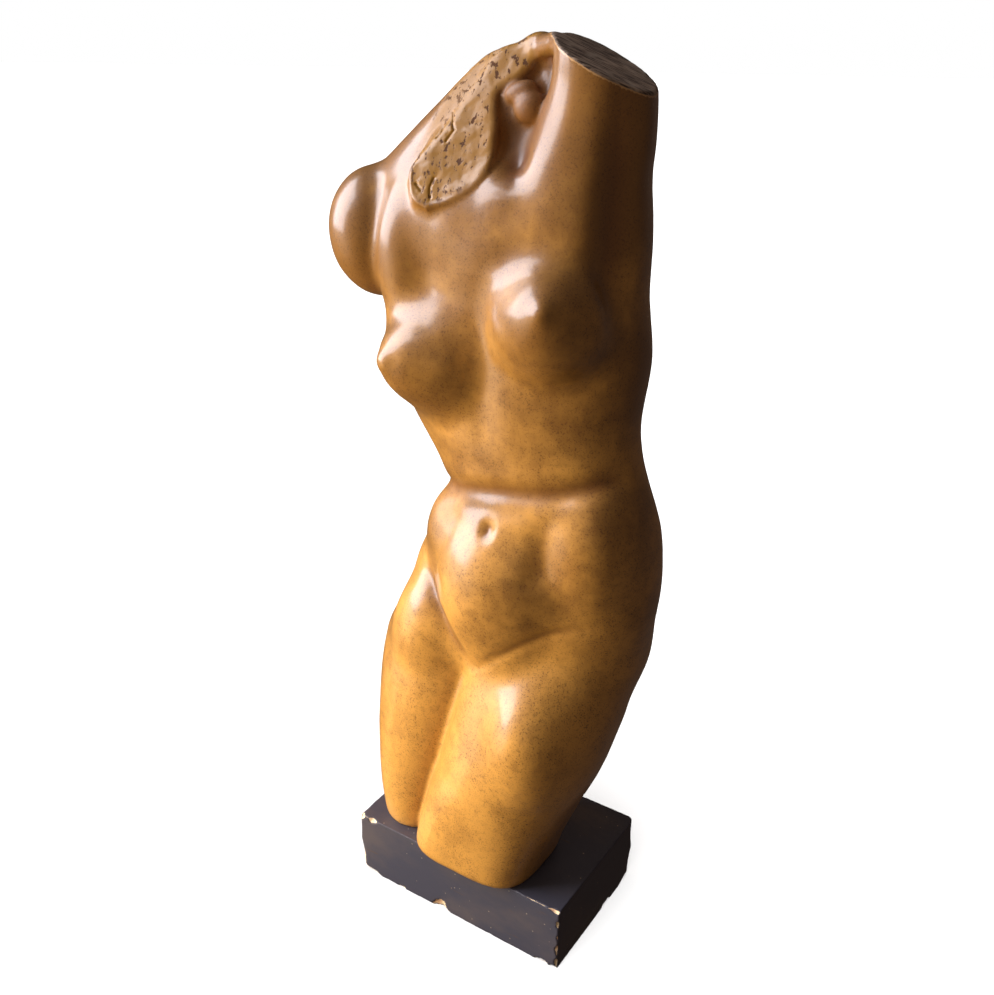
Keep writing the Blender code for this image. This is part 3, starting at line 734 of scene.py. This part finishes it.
def break_share(points):
    """1 on the broken face of the neck, 0 away from it, fading in from its rim."""
    inside = ramp(NECK_SIDES(points), 1.0, -5.0)
    level = ramp(np.abs(beyond(points, NECK_BREAK)), 7.0, 2.0)
    return inside * level * ramp(whole_neck(points), 10.0, 4.0)


def on_arm_cut(points):
    """Which points lie on or near the sawn face of the arm."""
    return (np.abs(beyond(points, ARM_CUT)) < 3) & (points[:, 2] > SAWN_LOWEST)


def on_arm_rim(points):
    """Which points lie on the sawn arm's rounded edge."""
    depth = -beyond(points, ARM_CUT)
    return (depth < 3) & (depth > -0.9) & (points[:, 2] > SAWN_LOWEST)


def on_crack(points):
    """Which points lie along the cracks of the neck's broken face."""
    close = [scratched(points, crack, 2.5) > 0.2 for crack in CRACKS]
    return on_break(points) & np.any(close, axis=0)


def scratched(points, path, width):
    """1 along a short crack drawn from the front, 0 away from it."""
    flat = points[:, (0, 2)]
    away, _ = nearest_on_path(flat, rounded_path(path, 3))
    return np.exp(-(away / width)**2)


def furrow_share(points):
    """How strongly each point lies in a furrow: 0 outside them, 1 along the deepest."""
    depth = sum(furrow_depth(points, furrow) / furrow.width for furrow in FURROWS)
    return ramp(depth, 0.12, 0.7)


def figure_relief(points):
    """How far fine relief stands out from the smooth figure, in millimetres."""
    height = UNEVEN_RISE * drift(points, UNEVEN_SIZE)
    for centre, reach, rise in SWELLS:
        height = height + rise * np.exp(-away_from(points, centre, reach)**2)
    broken = break_share(points)
    across = (points - np.array(NECK_BREAK.point)) @ BREAK_RIGHT
    torn = TORN_RISE * drift(points, TORN_SIZE, 4) + TORN_LEAN * ramp(across, 0, 34) - TORN_SUNK
    for crack in CRACKS:
        torn = torn - CRACK_DEPTH * scratched(points, crack, CRACK_WIDTH)
    height = height + broken * torn
    sawn = ramp(beyond(points, ARM_CUT), -0.6, 0.2) * (points[:, 2] > SAWN_LOWEST)
    along = unit(GRAIN_AXES[0])
    drawn = points - GRAIN_DRAWN * (points @ along)[:, None] * along
    grain = drift(drawn, GRAIN_SIZE, 4)
    return height + sawn * GRAIN_RISE * grain


def make_figure(sizes):
    """The figure's fine skin with its relief and the masks that its patina reads."""
    coarse = 1
    mesh = skin_over_figure(sizes.voxel * coarse, sizes.passes)
    refined(mesh, lambda middles: on_break(middles) | on_arm_cut(middles))
    refined(mesh, lambda middles: on_arm_rim(middles) | on_crack(middles))
    points = corners_of(mesh)
    away, _ = nearest_on_path(points, np.array(VALLEY_EDGE, float))
    points = softened(mesh, points, ramp(away, *VALLEY_EDGE_FADE))
    normals = outward(points)
    mark_wear_and_shade(mesh, points, normals)
    put_corners(mesh, points + normals * figure_relief(points)[:, None])
    return finished("venus_figure", flat_based(mesh), figure_patina(sizes))


def mark_wear_and_shade(mesh, points, normals):
    """Store what the patina reads: hollows and furrows (painted shade too), the break, dull places
    and the cut.
    """
    knot = near_place(points, KNOT_PLACE, 46, 20)
    hip = near_place(points, HIP_PLACE, 34, 8)
    roll = shoulder_share(points) * ramp(whole_neck(points), 12, 3)
    below_cut = np.where(points[:, 2] > SAWN_LOWEST, -beyond(points, ARM_CUT), FAR)
    marks = {
        # hollow and furrow, the knot's share included, darken the shellac: painted shade besides
        # shellac that collects there
        "hollow": hollowness(points, normals),
        "furrow": np.maximum(furrow_share(points), 0.6 * knot),
        "broken": np.maximum(break_share(points), 0.85 * roll),
        "dull": np.maximum(np.maximum(roll, knot), 0.8 * hip),
        "below_cut": below_cut,
    }
    for name, values in marks.items():
        layer = mesh.attributes.new(name, "FLOAT", "POINT")
        layer.data.foreach_set("value", values.astype(np.float32))


def flat_based(mesh):
    """Cut the skin flat where it stands, close it and bring it to metres."""
    work = bmesh.new()
    work.from_mesh(mesh)
    everything = work.verts[:] + work.edges[:] + work.faces[:]
    bmesh.ops.bisect_plane(
        work, geom=everything, dist=0.0001, plane_co=(0, 0, BASE_HEIGHT), plane_no=(0, 0, -1),
        clear_outer=True)
    rim = [edge for edge in work.edges if edge.is_boundary]
    bmesh.ops.holes_fill(work, edges=rim, sides=0)
    bmesh.ops.triangulate(work, faces=[face for face in work.faces if len(face.verts) > 4])
    bmesh.ops.scale(work, vec=(MM, MM, MM), verts=work.verts)
    return mesh_of("venus_figure", work)


def finished(name, mesh, material):
    """Make a smooth-shaded object of a mesh."""
    mesh.materials.append(material)
    mesh.shade_smooth()
    mesh.set_sharp_from_angle(angle=radians(SHARP_ANGLE))
    item = bpy.data.objects.new(name, mesh)
    bpy.context.collection.objects.link(item)
    return item


# ---------------- plinth


def stations(length, spacing):
    """Places along an edge: close together at its ends, evenly spaced between."""
    near = np.array(EDGE_STATIONS)
    count = max(2, round((length - 2 * near[-1]) / spacing))
    middle = np.linspace(near[-1], length - near[-1], count + 1)
    return np.concatenate([near[:-1], middle, length - near[-2::-1]])


def add_side(work, low, high, axis, at_high, spacing):
    """One side of the block as a grid of quads."""
    first, second = [a for a in range(3) if a != axis]
    rows = stations(high[first] - low[first], spacing) + low[first]
    columns = stations(high[second] - low[second], spacing) + low[second]
    side = bmesh.ops.create_grid(
        work, x_segments=len(rows) - 1, y_segments=len(columns) - 1, size=1)["verts"]
    for vert in side:
        place = Vector((0, 0, 0))
        place[first] = rows[round((vert.co.x + 1) / 2 * (len(rows) - 1))]
        place[second] = columns[round((vert.co.y + 1) / 2 * (len(columns) - 1))]
        place[axis] = high[axis] if at_high else low[axis]
        vert.co = place


def edge_wear(points):
    """How far each stretch of edge is rounded off, in millimetres."""
    broad, fine = drift(points, 16, 4), drift(points, 4)
    return LEAST_WEAR + BROAD_WEAR * np.maximum(broad, 0) + FINE_WEAR * np.maximum(fine, 0)


def worn_by(points, worn, least):
    """The rounding at each point: the least one, or more near a worn corner."""
    radius = least
    for corner, most in worn:
        away = away_from(points, corner, np.array(CORNER_REACH))
        radius = np.maximum(radius, most * (1 - ramp(away, 0.3, 1.0)))
    return radius[:, None]


def rolled(local, half, radius):
    """Roll a block's edges over to this radius; the block's middle is the origin."""
    core = np.clip(local, radius - half, half - radius)
    step = local - core
    length = np.maximum(np.linalg.norm(step, axis=1, keepdims=True), TINY)
    return core + step * np.minimum(1, radius / length)


def worn_block(points, low, high):
    """Roll over the uprights, then every edge."""
    middle, half = (low + high) / 2, (high - low) / 2
    local = points - middle
    upright = worn_by(points, WORN_UPRIGHTS, np.full(len(points), UPRIGHT_WEAR))
    local[:, :2] = rolled(local[:, :2], half[:2], upright)
    return middle + rolled(local, half, worn_by(points, WORN_CORNERS, edge_wear(points)))


def bitten(points, chip):
    """Push the points that lie inside a chip's ellipsoid in until they reach its far side."""
    way = unit(chip.inward)
    radii = np.array(chip.radii, float)
    near = away_from(points, chip.centre, radii) < 1.5
    radii = radii * (1 + CHIP_RAGGED * drift(points[near], CHIP_GRAIN))[:, None]
    local = (points[near] - np.array(chip.centre)) / radii
    step = way / radii
    a = (step**2).sum(axis=1)
    b = (local * step).sum(axis=1)
    c = (local**2).sum(axis=1) - 1
    reach = np.where(c < 0, (np.sqrt(np.maximum(b * b - a * c, 0)) - b) / a, 0)
    moved = points.copy()
    moved[near] += reach[:, None] * way
    return moved


def make_plinth(sizes):
    """The painted block with its worn edges and chips."""
    low, high = [np.array(corner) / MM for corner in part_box(PLINTH_NODE)]
    spacing = sizes.spacing * 1
    work = bmesh.new()
    for axis in range(3):
        for at_high in (False, True):
            add_side(work, low, high, axis, at_high, spacing)
    bmesh.ops.remove_doubles(work, verts=work.verts, dist=0.01)
    bmesh.ops.recalc_face_normals(work, faces=work.faces)
    mesh = mesh_of("painted_plinth", work)
    points = worn_block(corners_of(mesh), low, high)
    for chip in CHIPS:
        points = bitten(points, chip)
    put_corners(mesh, points * MM)
    return finished("painted_plinth", mesh, plinth_paint(sizes))


# ---------------- materials


# where a Mix node keeps its two colours and their mixture
FIRST_COLOUR, SECOND_COLOUR, MIXED_COLOUR = 6, 7, 2


class Level:
    """A number that varies over a surface. Sums and products of levels add Math nodes."""

    def __init__(self, finish, socket):
        self.finish = finish
        self.socket = socket

    def combined(self, operation, *numbers):
        node = self.finish.node("ShaderNodeMath", {"operation": operation}, *numbers)
        return Level(self.finish, node.outputs[0])

    def __add__(self, other):
        return self.combined("ADD", self, other)

    def __sub__(self, other):
        return self.combined("SUBTRACT", self, other)

    def __rsub__(self, other):
        return self.combined("SUBTRACT", other, self)

    def __mul__(self, other):
        return self.combined("MULTIPLY", self, other)

    __radd__ = __add__
    __rmul__ = __mul__

    def least(self, other):
        return self.combined("MINIMUM", self, other)

    def most(self, other):
        return self.combined("MAXIMUM", self, other)

    def magnitude(self):
        return self.combined("ABSOLUTE", self)

    def eased(self, start, end):
        """0 at start and 1 at end, or the other way round when end is less."""
        settings = {"interpolation_type": "SMOOTHSTEP"}
        low, high = min(start, end), max(start, end)
        ends = (0.0, 1.0) if start < end else (1.0, 0.0)
        node = self.finish.node("ShaderNodeMapRange", settings, self, low, high, *ends)
        return Level(self.finish, node.outputs[0])


class Finish:
    """One material being put together around a Principled shader."""

    def __init__(self, name):
        self.material = bpy.data.materials.new(name)
        self.material.use_nodes = True
        self.tree = self.material.node_tree
        self.shader = self.tree.nodes["Principled BSDF"]
        self.place = self.node("ShaderNodeTexCoord").outputs["Object"]

    def node(self, kind, settings=None, *values, **named):
        """Add a node: its settings first, then its sockets in order or by name."""
        node = self.tree.nodes.new(kind)
        for name, value in (settings or {}).items():
            setattr(node, name, value)
        for socket, value in zip(node.inputs, values):
            self.feed(socket, value)
        for name, value in named.items():
            self.feed(node.inputs[name.replace("_", " ").title()], value)
        return node

    def feed(self, socket, value):
        """Link a socket, or set it when the value is plain."""
        if isinstance(value, Level):
            value = value.socket
        if isinstance(value, bpy.types.NodeSocket):
            self.tree.links.new(socket, value)
        elif socket.type == "RGBA":
            socket.default_value = (*value, 1.0)
        else:
            socket.default_value = value

    def stored(self, name):
        """A number kept on the mesh's corners."""
        node = self.node("ShaderNodeAttribute", {"attribute_name": name})
        return Level(self, node.outputs["Fac"])

    def stretched(self, scale):
        """The place on the object, scaled along each axis."""
        settings = {"operation": "MULTIPLY"}
        return self.node("ShaderNodeVectorMath", settings, self.place, scale).outputs[0]

    def clouds(self, size, detail=3.0, roughness=0.5, place=None):
        """Noise from 0 to 1 with features of about this size in metres."""
        node = self.node(
            "ShaderNodeTexNoise", None, vector=place or self.place, scale=1 / size,
            detail=detail, roughness=roughness)
        return Level(self, node.outputs["Fac"])

    def cells(self, size):
        """Distance to the nearest of many scattered points, as a share of their spacing."""
        node = self.node("ShaderNodeTexVoronoi", None, vector=self.place, scale=1 / size)
        return Level(self, node.outputs["Distance"])

    def toward(self, way):
        """How far the place lies along a direction."""
        settings = {"operation": "DOT_PRODUCT"}
        node = self.node("ShaderNodeVectorMath", settings, self.place, tuple(way))
        return Level(self, node.outputs["Value"])

    def joined(self, x, y, z):
        """A place made of three numbers."""
        return self.node("ShaderNodeCombineXYZ", None, x, y, z).outputs[0]

    def blend(self, share, first, second):
        """Mix two colours by a share from 0 to 1."""
        node = self.node("ShaderNodeMix", {"data_type": "RGBA"}, share)
        self.feed(node.inputs[FIRST_COLOUR], first)
        self.feed(node.inputs[SECOND_COLOUR], second)
        return node.outputs[MIXED_COLOUR]

    def bump(self, height, depth):
        """Set the shader's normal from a height of 0 to 1 that is this deep in metres."""
        node = self.node("ShaderNodeBump", None, strength=1.0, distance=depth, height=height)
        self.feed(self.shader.inputs["Normal"], node.outputs[0])

    def set(self, **values):
        """Set or link the shader's own sockets."""
        for name, value in values.items():
            self.feed(self.shader.inputs[name.replace("_", " ").title()], value)


def figure_patina(look):
    """Amber shellac over plaster: clouded, flecked, darker in the hollows with painted shade,
    rubbed on the break.
    """
    finish = Finish("amber_patina")
    hollow = finish.stored("hollow")
    colour = shellac(finish, look, hollow)
    broken = finish.stored("broken")
    colour = finish.blend(broken * 0.7, colour, look.rubbed)
    torn = finish.clouds(0.0036, 3.0, 0.62, finish.stretched((1, 1, 0.5)))
    pits = (torn + finish.clouds(0.020, 2.0) * 0.35).eased(0.745, 0.80) * broken
    colour = finish.blend(pits, colour, look.fleck)
    below = finish.stored("below_cut")
    ragged = finish.clouds(0.0025, 3.0, 0.6) - 0.5
    chipped = (below + ragged * 3.0).eased(1.5, 1.0) * 0.6
    colour = finish.blend(chipped, colour, look.rim)
    sawn = (below + ragged * 0.5).eased(0.55, 0.3)
    colour = finish.blend(sawn, colour, sawn_colour(finish, look))
    dull = finish.stored("dull")
    finish.set(base_color=colour, roughness=sawn * 0.25 + pits * 0.4 + dull * 0.16 + 0.40)
    coat = (1 - sawn) * (1 - dull * 0.8) * (1 - pits) * (1 - broken * 0.45)
    finish.set(coat_weight=coat * 0.78, coat_roughness=0.2)
    finish.shader.inputs["Specular IOR Level"].default_value = 0.6
    finish.shader.inputs["Coat IOR"].default_value = 1.6
    grain = finish.clouds(0.0030, 3.0, 0.65) - pits * 0.8
    finish.bump(grain, 0.00016)
    return finish.material


def shellac(finish, look, hollow):
    """The shellac's colour before any wear, with painted shade toward the top, in the hollows and
    furrows and round the knot.
    """
    # painted shade: darker toward the top of the figure, clouded at random
    top_shade_and_clouds = finish.clouds(0.060, 4.0, 0.62) + finish.toward((0, 0, 1)) - 0.33
    colour = finish.blend(top_shade_and_clouds.eased(0.27, 0.80), look.amber, look.brown)
    drab = finish.clouds(0.024, 4.0, 0.6, finish.stretched((1, 1, 0.7)))
    mottle = finish.clouds(0.0075, 3.0, 0.65).eased(0.46, 0.70) * 0.25
    colour = finish.blend(mottle.most(drab.eased(0.50, 0.74) * 0.35), colour, look.drab)
    # painted shade in the hollows, the furrows and round the knot, besides shellac that collects
    # there
    gathered_and_shaded = (hollow.eased(0.42, 0.95) * 0.85).most(finish.stored("furrow") * 0.75)
    colour = finish.blend(gathered_and_shaded, colour, look.deep)
    where = finish.clouds(0.030, 3.0, 0.6).eased(0.36, 0.62)
    dots = finish.cells(0.0020).eased(0.26, 0.12) * where
    fine = finish.clouds(0.0014, 2.0, 0.7).eased(0.53, 0.68) * (where * 0.5 + 0.5)
    return finish.blend((dots * 0.5).most(fine * 0.7), colour, look.fleck)


def sawn_colour(finish, look):
    """Dull grey-brown with darker grain running along the cut."""
    across = [finish.toward(way) for way in GRAIN_AXES]
    place = finish.joined(across[0] * 0.14, across[1], across[2])
    grain = finish.clouds(0.0022, 4.0, 0.7, place)
    colour = finish.blend(grain.eased(0.38, 0.62), look.grain, look.sawn)
    pale = finish.clouds(0.012, 2.0).eased(0.50, 0.75) * 0.5
    return finish.blend(pale, colour, look.dust)


def depth_below_sides(finish):
    """How many millimetres the place lies below the whole block's flat sides."""
    low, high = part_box(PLINTH_NODE)
    depths = []
    for axis, way in enumerate(np.eye(3)):
        middle, half = (low[axis] + high[axis]) / 2, (high[axis] - low[axis]) / 2
        depths.append(half - (finish.toward(way) - middle).magnitude())
    return depths[0].least(depths[1]).least(depths[2]) * (1 / MM)


def plinth_paint(look):
    """Black satin paint, lifted blue-grey as a painted reflection of the floor, scuffed, worn
    through to bare plaster at the edges and chips.
    """
    finish = Finish("black_paint")
    depth = depth_below_sides(finish)
    scuffed = finish.clouds(0.040, 4.0, 0.6, finish.stretched((0.5, 1, 1)))
    # the paint and scuffed colours carry a painted reflection of the floor
    colour = finish.blend(scuffed.eased(0.40, 0.75), look.paint, look.scuffed)
    streaks = finish.clouds(0.0045, 3.0, 0.6, finish.stretched((0.12, 1, 1)))
    colour = finish.blend(streaks.eased(0.66, 0.76) * 0.5, colour, look.streak)
    specks = finish.cells(0.0085).eased(0.085, 0.05)
    colour = finish.blend(specks * 0.35, colour, look.plaster)
    ragged = finish.clouds(0.0030, 3.0, 0.65) - 0.5
    bare = (depth + ragged * 0.7).eased(0.62, 0.78)
    clay = finish.clouds(0.010, 2.0).eased(0.45, 0.7)
    plaster = finish.blend(clay, look.plaster, look.peach)
    colour = finish.blend(bare, colour, plaster)
    rough = bare * 0.35 + scuffed * 0.12 + 0.36
    finish.set(base_color=colour, roughness=rough)
    finish.shader.inputs["Specular IOR Level"].default_value = 0.3
    finish.bump(finish.clouds(0.0035, 3.0, 0.6) + bare * 0.6, 0.00012)
    return finish.material


# ---------------- stage


def make_camera(look):
    """A camera looking down on the figure from its left."""
    camera = bpy.data.objects.new("camera", bpy.data.cameras.new("camera"))
    camera.data.sensor_width = SENSOR_WIDTH
    camera.data.lens = look.lens
    turn = Matrix.Rotation(look.view_round, 4, "Z")
    turn = turn @ Matrix.Rotation(radians(90) - look.view_above, 4, "X")
    turn = turn @ Matrix.Rotation(look.view_tilt, 4, "Z")
    aim = (look.aim_right, look.aim_height, look.view_distance)
    camera.matrix_world = turn @ Matrix.Translation(aim)
    bpy.context.collection.objects.link(camera)
    bpy.context.scene.camera = camera


def add_lamp(name, kind, power, colour, place, aim, lit, **settings):
    """A lamp that looks from its place toward its aim and lights only one group."""
    lamp = bpy.data.lights.new(name, kind)
    for key, value in {"energy": power, "color": colour, **settings}.items():
        setattr(lamp, key, value)
    item = bpy.data.objects.new(name, lamp)
    turn = (place - aim).to_track_quat("Z", "Y").to_matrix().to_4x4()
    item.matrix_world = Matrix.Translation(place) @ turn
    bpy.context.collection.objects.link(item)
    item.light_linking.receiver_collection = lit
    return item


def make_lights(look, lit, floor_lit):
    """A tall soft window, two weak pale walls, a warm bounce and the floor's own even light."""
    middle = Vector((0, 0, CAD_BOX[1][2] / 2))
    from_window, from_front, from_back, from_sky = [
        middle + Vector(way).normalized() * look.window_distance
        for way in (WINDOW_WAY, FRONT_WAY, BACK_WAY, FLOOR_LIGHT_WAY)]
    add_lamp(
        "window", "AREA", look.window_power, look.window, from_window, middle, lit,
        shape="RECTANGLE", size=look.window_width, size_y=look.window_height)
    front = add_lamp(
        "front_fill", "AREA", look.front_fill, look.fill, from_front, middle, lit,
        shape="DISK", size=look.window_width)
    back = add_lamp(
        "back_fill", "AREA", look.back_fill, look.fill, from_back, middle, lit,
        shape="DISK", size=look.window_width)
    bounce = add_lamp(
        "bounce", "AREA", look.bounce_power, look.bounce, BOUNCE_PLACE, BOUNCE_AIM, lit,
        shape="DISK", size=look.bounce_size, spread=look.bounce_spread)
    bounce.visible_camera = False
    for lamp in (front, back, bounce):
        lamp.visible_glossy = False
    # from the window's side, so the shadow on the floor falls the same way
    add_lamp(
        "floor_light", "SUN", look.floor_light, (1, 1, 1), from_sky, middle, floor_lit,
        angle=look.floor_softness)


def group_of(name, items):
    """A collection that holds these objects."""
    group = bpy.data.collections.new(name)
    for item in items:
        group.objects.link(item)
    return group


def make_world(look):
    """A dim room that is seen as plain white behind the floor."""
    world = bpy.data.worlds.new("room")
    world.use_nodes = True
    tree = world.node_tree
    lit = tree.nodes["Background"]
    lit.inputs["Color"].default_value = (*look.room, 1)
    lit.inputs["Strength"].default_value = look.room_light
    seen = tree.nodes.new("ShaderNodeBackground")
    seen.inputs["Color"].default_value = (1, 1, 1, 1)
    path = tree.nodes.new("ShaderNodeLightPath")
    both = tree.nodes.new("ShaderNodeMixShader")
    tree.links.new(both.inputs[0], path.outputs["Is Camera Ray"])
    tree.links.new(both.inputs[1], lit.outputs[0])
    tree.links.new(both.inputs[2], seen.outputs[0])
    tree.links.new(tree.nodes["World Output"].inputs[0], both.outputs[0])
    bpy.context.scene.world = world
    bpy.context.scene.view_settings.view_transform = "Standard"


def make_floor(look):
    """A wide pale floor that doesn't mirror itself in the figure."""
    work = bmesh.new()
    bmesh.ops.create_circle(work, cap_ends=True, segments=FLOOR_SIDES, radius=look.floor_radius)
    floor = finished("floor", mesh_of("floor", work), floor_paint(look))
    floor.visible_diffuse = False
    floor.visible_glossy = False
    return floor


def floor_paint(look):
    """Plain pale paint."""
    finish = Finish("floor_paint")
    finish.set(base_color=look.floor, roughness=0.9)
    return finish.material


# ---------------- settings


def colour_setting(name, description, default):
    """A colour that the sidebar shows."""
    return FloatVectorProperty(
        name=name, description=description, default=default, min=0, max=1, subtype="COLOR")


def number(kind, name, description, default):
    """A length, an angle, a power or a plain number that the sidebar shows."""
    return FloatProperty(name=name, description=description, default=default, subtype=kind)


class FigureSettings(bpy.types.PropertyGroup):
    """Sizes and colours of the figure."""

    voxel: FloatProperty(
        name="Skin spacing", description="Spacing of the fine skin's corners in millimetres",
        default=2.6, min=1.5, max=8)
    passes: IntProperty(
        name="Evening passes", description="How often the skin is evened out", default=3, min=0)
    # amber below and brown toward the top are blended by height as painted shade
    amber: colour_setting("Amber", "Shellac where it is thin", (0.62, 0.315, 0.066))
    brown: colour_setting("Brown", "Shellac where it is thicker", (0.225, 0.104, 0.022))
    drab: colour_setting("Drab", "Duller, greener clouds", (0.27, 0.125, 0.030))
    # deep is painted shade in the hollows, furrows and round the knot, besides shellac that
    # collects there
    deep: colour_setting("Deep", "Shellac gathered in the hollows", (0.12, 0.040, 0.012))
    fleck: colour_setting("Fleck", "Fine dark flecks", (0.085, 0.034, 0.011))
    rubbed: colour_setting("Rubbed", "Paler shellac of the neck break", (0.33, 0.165, 0.016))
    rim: colour_setting("Rim", "Chipped rim of the sawn arm", (0.62, 0.38, 0.18))
    sawn: colour_setting("Sawn", "Dull grey-brown of the sawn arm", (0.34, 0.25, 0.185))
    grain: colour_setting("Grain", "Dark grain of the sawn arm", (0.052, 0.034, 0.025))
    dust: colour_setting("Dust", "Paler dust on the sawn arm", (0.42, 0.34, 0.27))


class PlinthSettings(bpy.types.PropertyGroup):
    """Sizes and colours of the plinth."""

    spacing: FloatProperty(
        name="Spacing", description="Spacing of the block's corners in millimetres",
        default=1.5, min=1.0, max=10)
    # paint and scuffed are lifted blue-grey as a painted reflection of the floor, over the paint's
    # own black and its scuffs
    paint: colour_setting("Paint", "Black satin paint", (0.058, 0.059, 0.085))
    scuffed: colour_setting("Scuffed", "Paint where it is scuffed", (0.096, 0.084, 0.094))
    streak: colour_setting("Streak", "Brown brush streaks", (0.11, 0.070, 0.045))
    plaster: colour_setting("Plaster", "Bare plaster", (0.80, 0.66, 0.46))
    peach: colour_setting("Peach", "Stained bare plaster", (0.70, 0.42, 0.27))


class StageSettings(bpy.types.PropertyGroup):
    """Floor, lights and camera."""

    view_round: number(
        "ANGLE", "Round", "How far the camera stands round from the front", radians(33.0))
    view_above: number("ANGLE", "Above", "How steeply the camera looks down", radians(23.2))
    view_tilt: number("ANGLE", "Tilt", "The camera's slight roll", radians(1.0))
    view_distance: number("DISTANCE", "Distance", "From the plinth to the camera's plane", 0.9559)
    aim_height: number("DISTANCE", "Aim height", "How far up the view's centre is", 0.3478)
    aim_right: number("DISTANCE", "Aim right", "How far right the view's centre is", 0.0006)
    lens: number("NONE", "Lens", "Focal length in millimetres", 36.905)
    floor: colour_setting("Floor", "Plain pale floor", (0.8, 0.8, 0.8))
    floor_radius: number("DISTANCE", "Floor radius", "How far the floor reaches", 80.0)
    floor_light: number("NONE", "Floor light", "Strength of the light on the floor", 8.0)
    floor_softness: number(
        "ANGLE", "Shadow softness", "How wide the floor's light is in the sky", radians(110))
    room: colour_setting("Room", "Light of the room", (1.0, 0.70, 0.57))
    room_light: number("NONE", "Room light", "Strength of the room's light", 0.065)
    bounce: colour_setting("Bounce", "Colour of the light thrown back up", (1.0, 0.84, 0.62))
    bounce_power: number("POWER", "Bounce power", "Watts of the light thrown back up", 13.0)
    bounce_size: number("DISTANCE", "Bounce size", "Width of the light thrown back up", 1.2)
    bounce_spread: number(
        "ANGLE", "Bounce spread", "How widely the light thrown back up fans out", radians(74))
    fill: colour_setting("Fill", "Colour of the light from the walls", (1.0, 0.82, 0.62))
    front_fill: number("POWER", "Front fill", "Watts of the light from the front", 9.0)
    back_fill: number("POWER", "Back fill", "Watts of the light from behind", 14.0)
    window: colour_setting("Window", "Colour of the window's light", (0.92, 0.92, 1.0))
    window_power: number("POWER", "Window power", "Watts of the window", 80)
    window_width: number("DISTANCE", "Window width", "Width of the window", 1.8)
    window_height: number("DISTANCE", "Window height", "Height of the window", 2.2)
    window_distance: number("DISTANCE", "Window distance", "From the figure to the window", 2.2)


# ---------------- operators


class TORSO_OT_figure(bpy.types.Operator):
    """Build the patinated torso over its CAD solid"""

    bl_idname = "torso.figure"
    bl_label = "Figure"

    def execute(self, context):
        figure = make_figure(context.scene.torso_figure)
        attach(figure, "root")
        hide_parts(FIGURE_NODE)
        return {"FINISHED"}


class TORSO_OT_plinth(bpy.types.Operator):
    """Build the painted, chipped plinth over its CAD solid"""

    bl_idname = "torso.plinth"
    bl_label = "Plinth"

    def execute(self, context):
        plinth = make_plinth(context.scene.torso_plinth)
        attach(plinth, "root")
        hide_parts(PLINTH_NODE)
        return {"FINISHED"}


class TORSO_OT_stage(bpy.types.Operator):
    """Lay the floor and set up the room, the lights and the camera"""

    bl_idname = "torso.stage"
    bl_label = "Stage"

    def execute(self, context):
        look = context.scene.torso_stage
        floor = make_floor(look)
        shown = [item for item in context.scene.objects if item.type == "MESH" and item != floor]
        make_world(look)
        lit, floor_lit = group_of("lit", shown), group_of("floor_lit", [floor])
        make_lights(look, lit, floor_lit)
        make_camera(look)
        return {"FINISHED"}


class TORSO_PT_sidebar(bpy.types.Panel):
    """Lists the builders and their settings"""

    bl_idname = "TORSO_PT_sidebar"
    bl_label = "Plaster torso"
    bl_space_type = "VIEW_3D"
    bl_region_type = "UI"
    bl_category = "Torso"

    def draw(self, context):
        for operator, settings in BUILDERS:
            box = self.layout.box()
            box.operator(operator.bl_idname)
            group = getattr(context.scene, settings)
            for name in group.bl_rna.properties.keys():
                if name not in {"rna_type", "name"}:
                    box.prop(group, name)


SETTINGS = {
    "torso_figure": FigureSettings,
    "torso_plinth": PlinthSettings,
    "torso_stage": StageSettings,
}
BUILDERS = (
    (TORSO_OT_figure, "torso_figure"),
    (TORSO_OT_plinth, "torso_plinth"),
    (TORSO_OT_stage, "torso_stage"),
)
CLASSES = (*SETTINGS.values(), *(operator for operator, _ in BUILDERS), TORSO_PT_sidebar)


def register():
    for item in CLASSES:
        bpy.utils.register_class(item)
    for name, group in SETTINGS.items():
        setattr(bpy.types.Scene, name, PointerProperty(type=group))


def unregister():
    for name in SETTINGS:
        delattr(bpy.types.Scene, name)
    for item in reversed(CLASSES):
        bpy.utils.unregister_class(item)


def main():
    register()
    bpy.ops.torso.figure()
    bpy.ops.torso.plinth()
    bpy.ops.torso.stage()


if __name__ == "__main__":
    main()
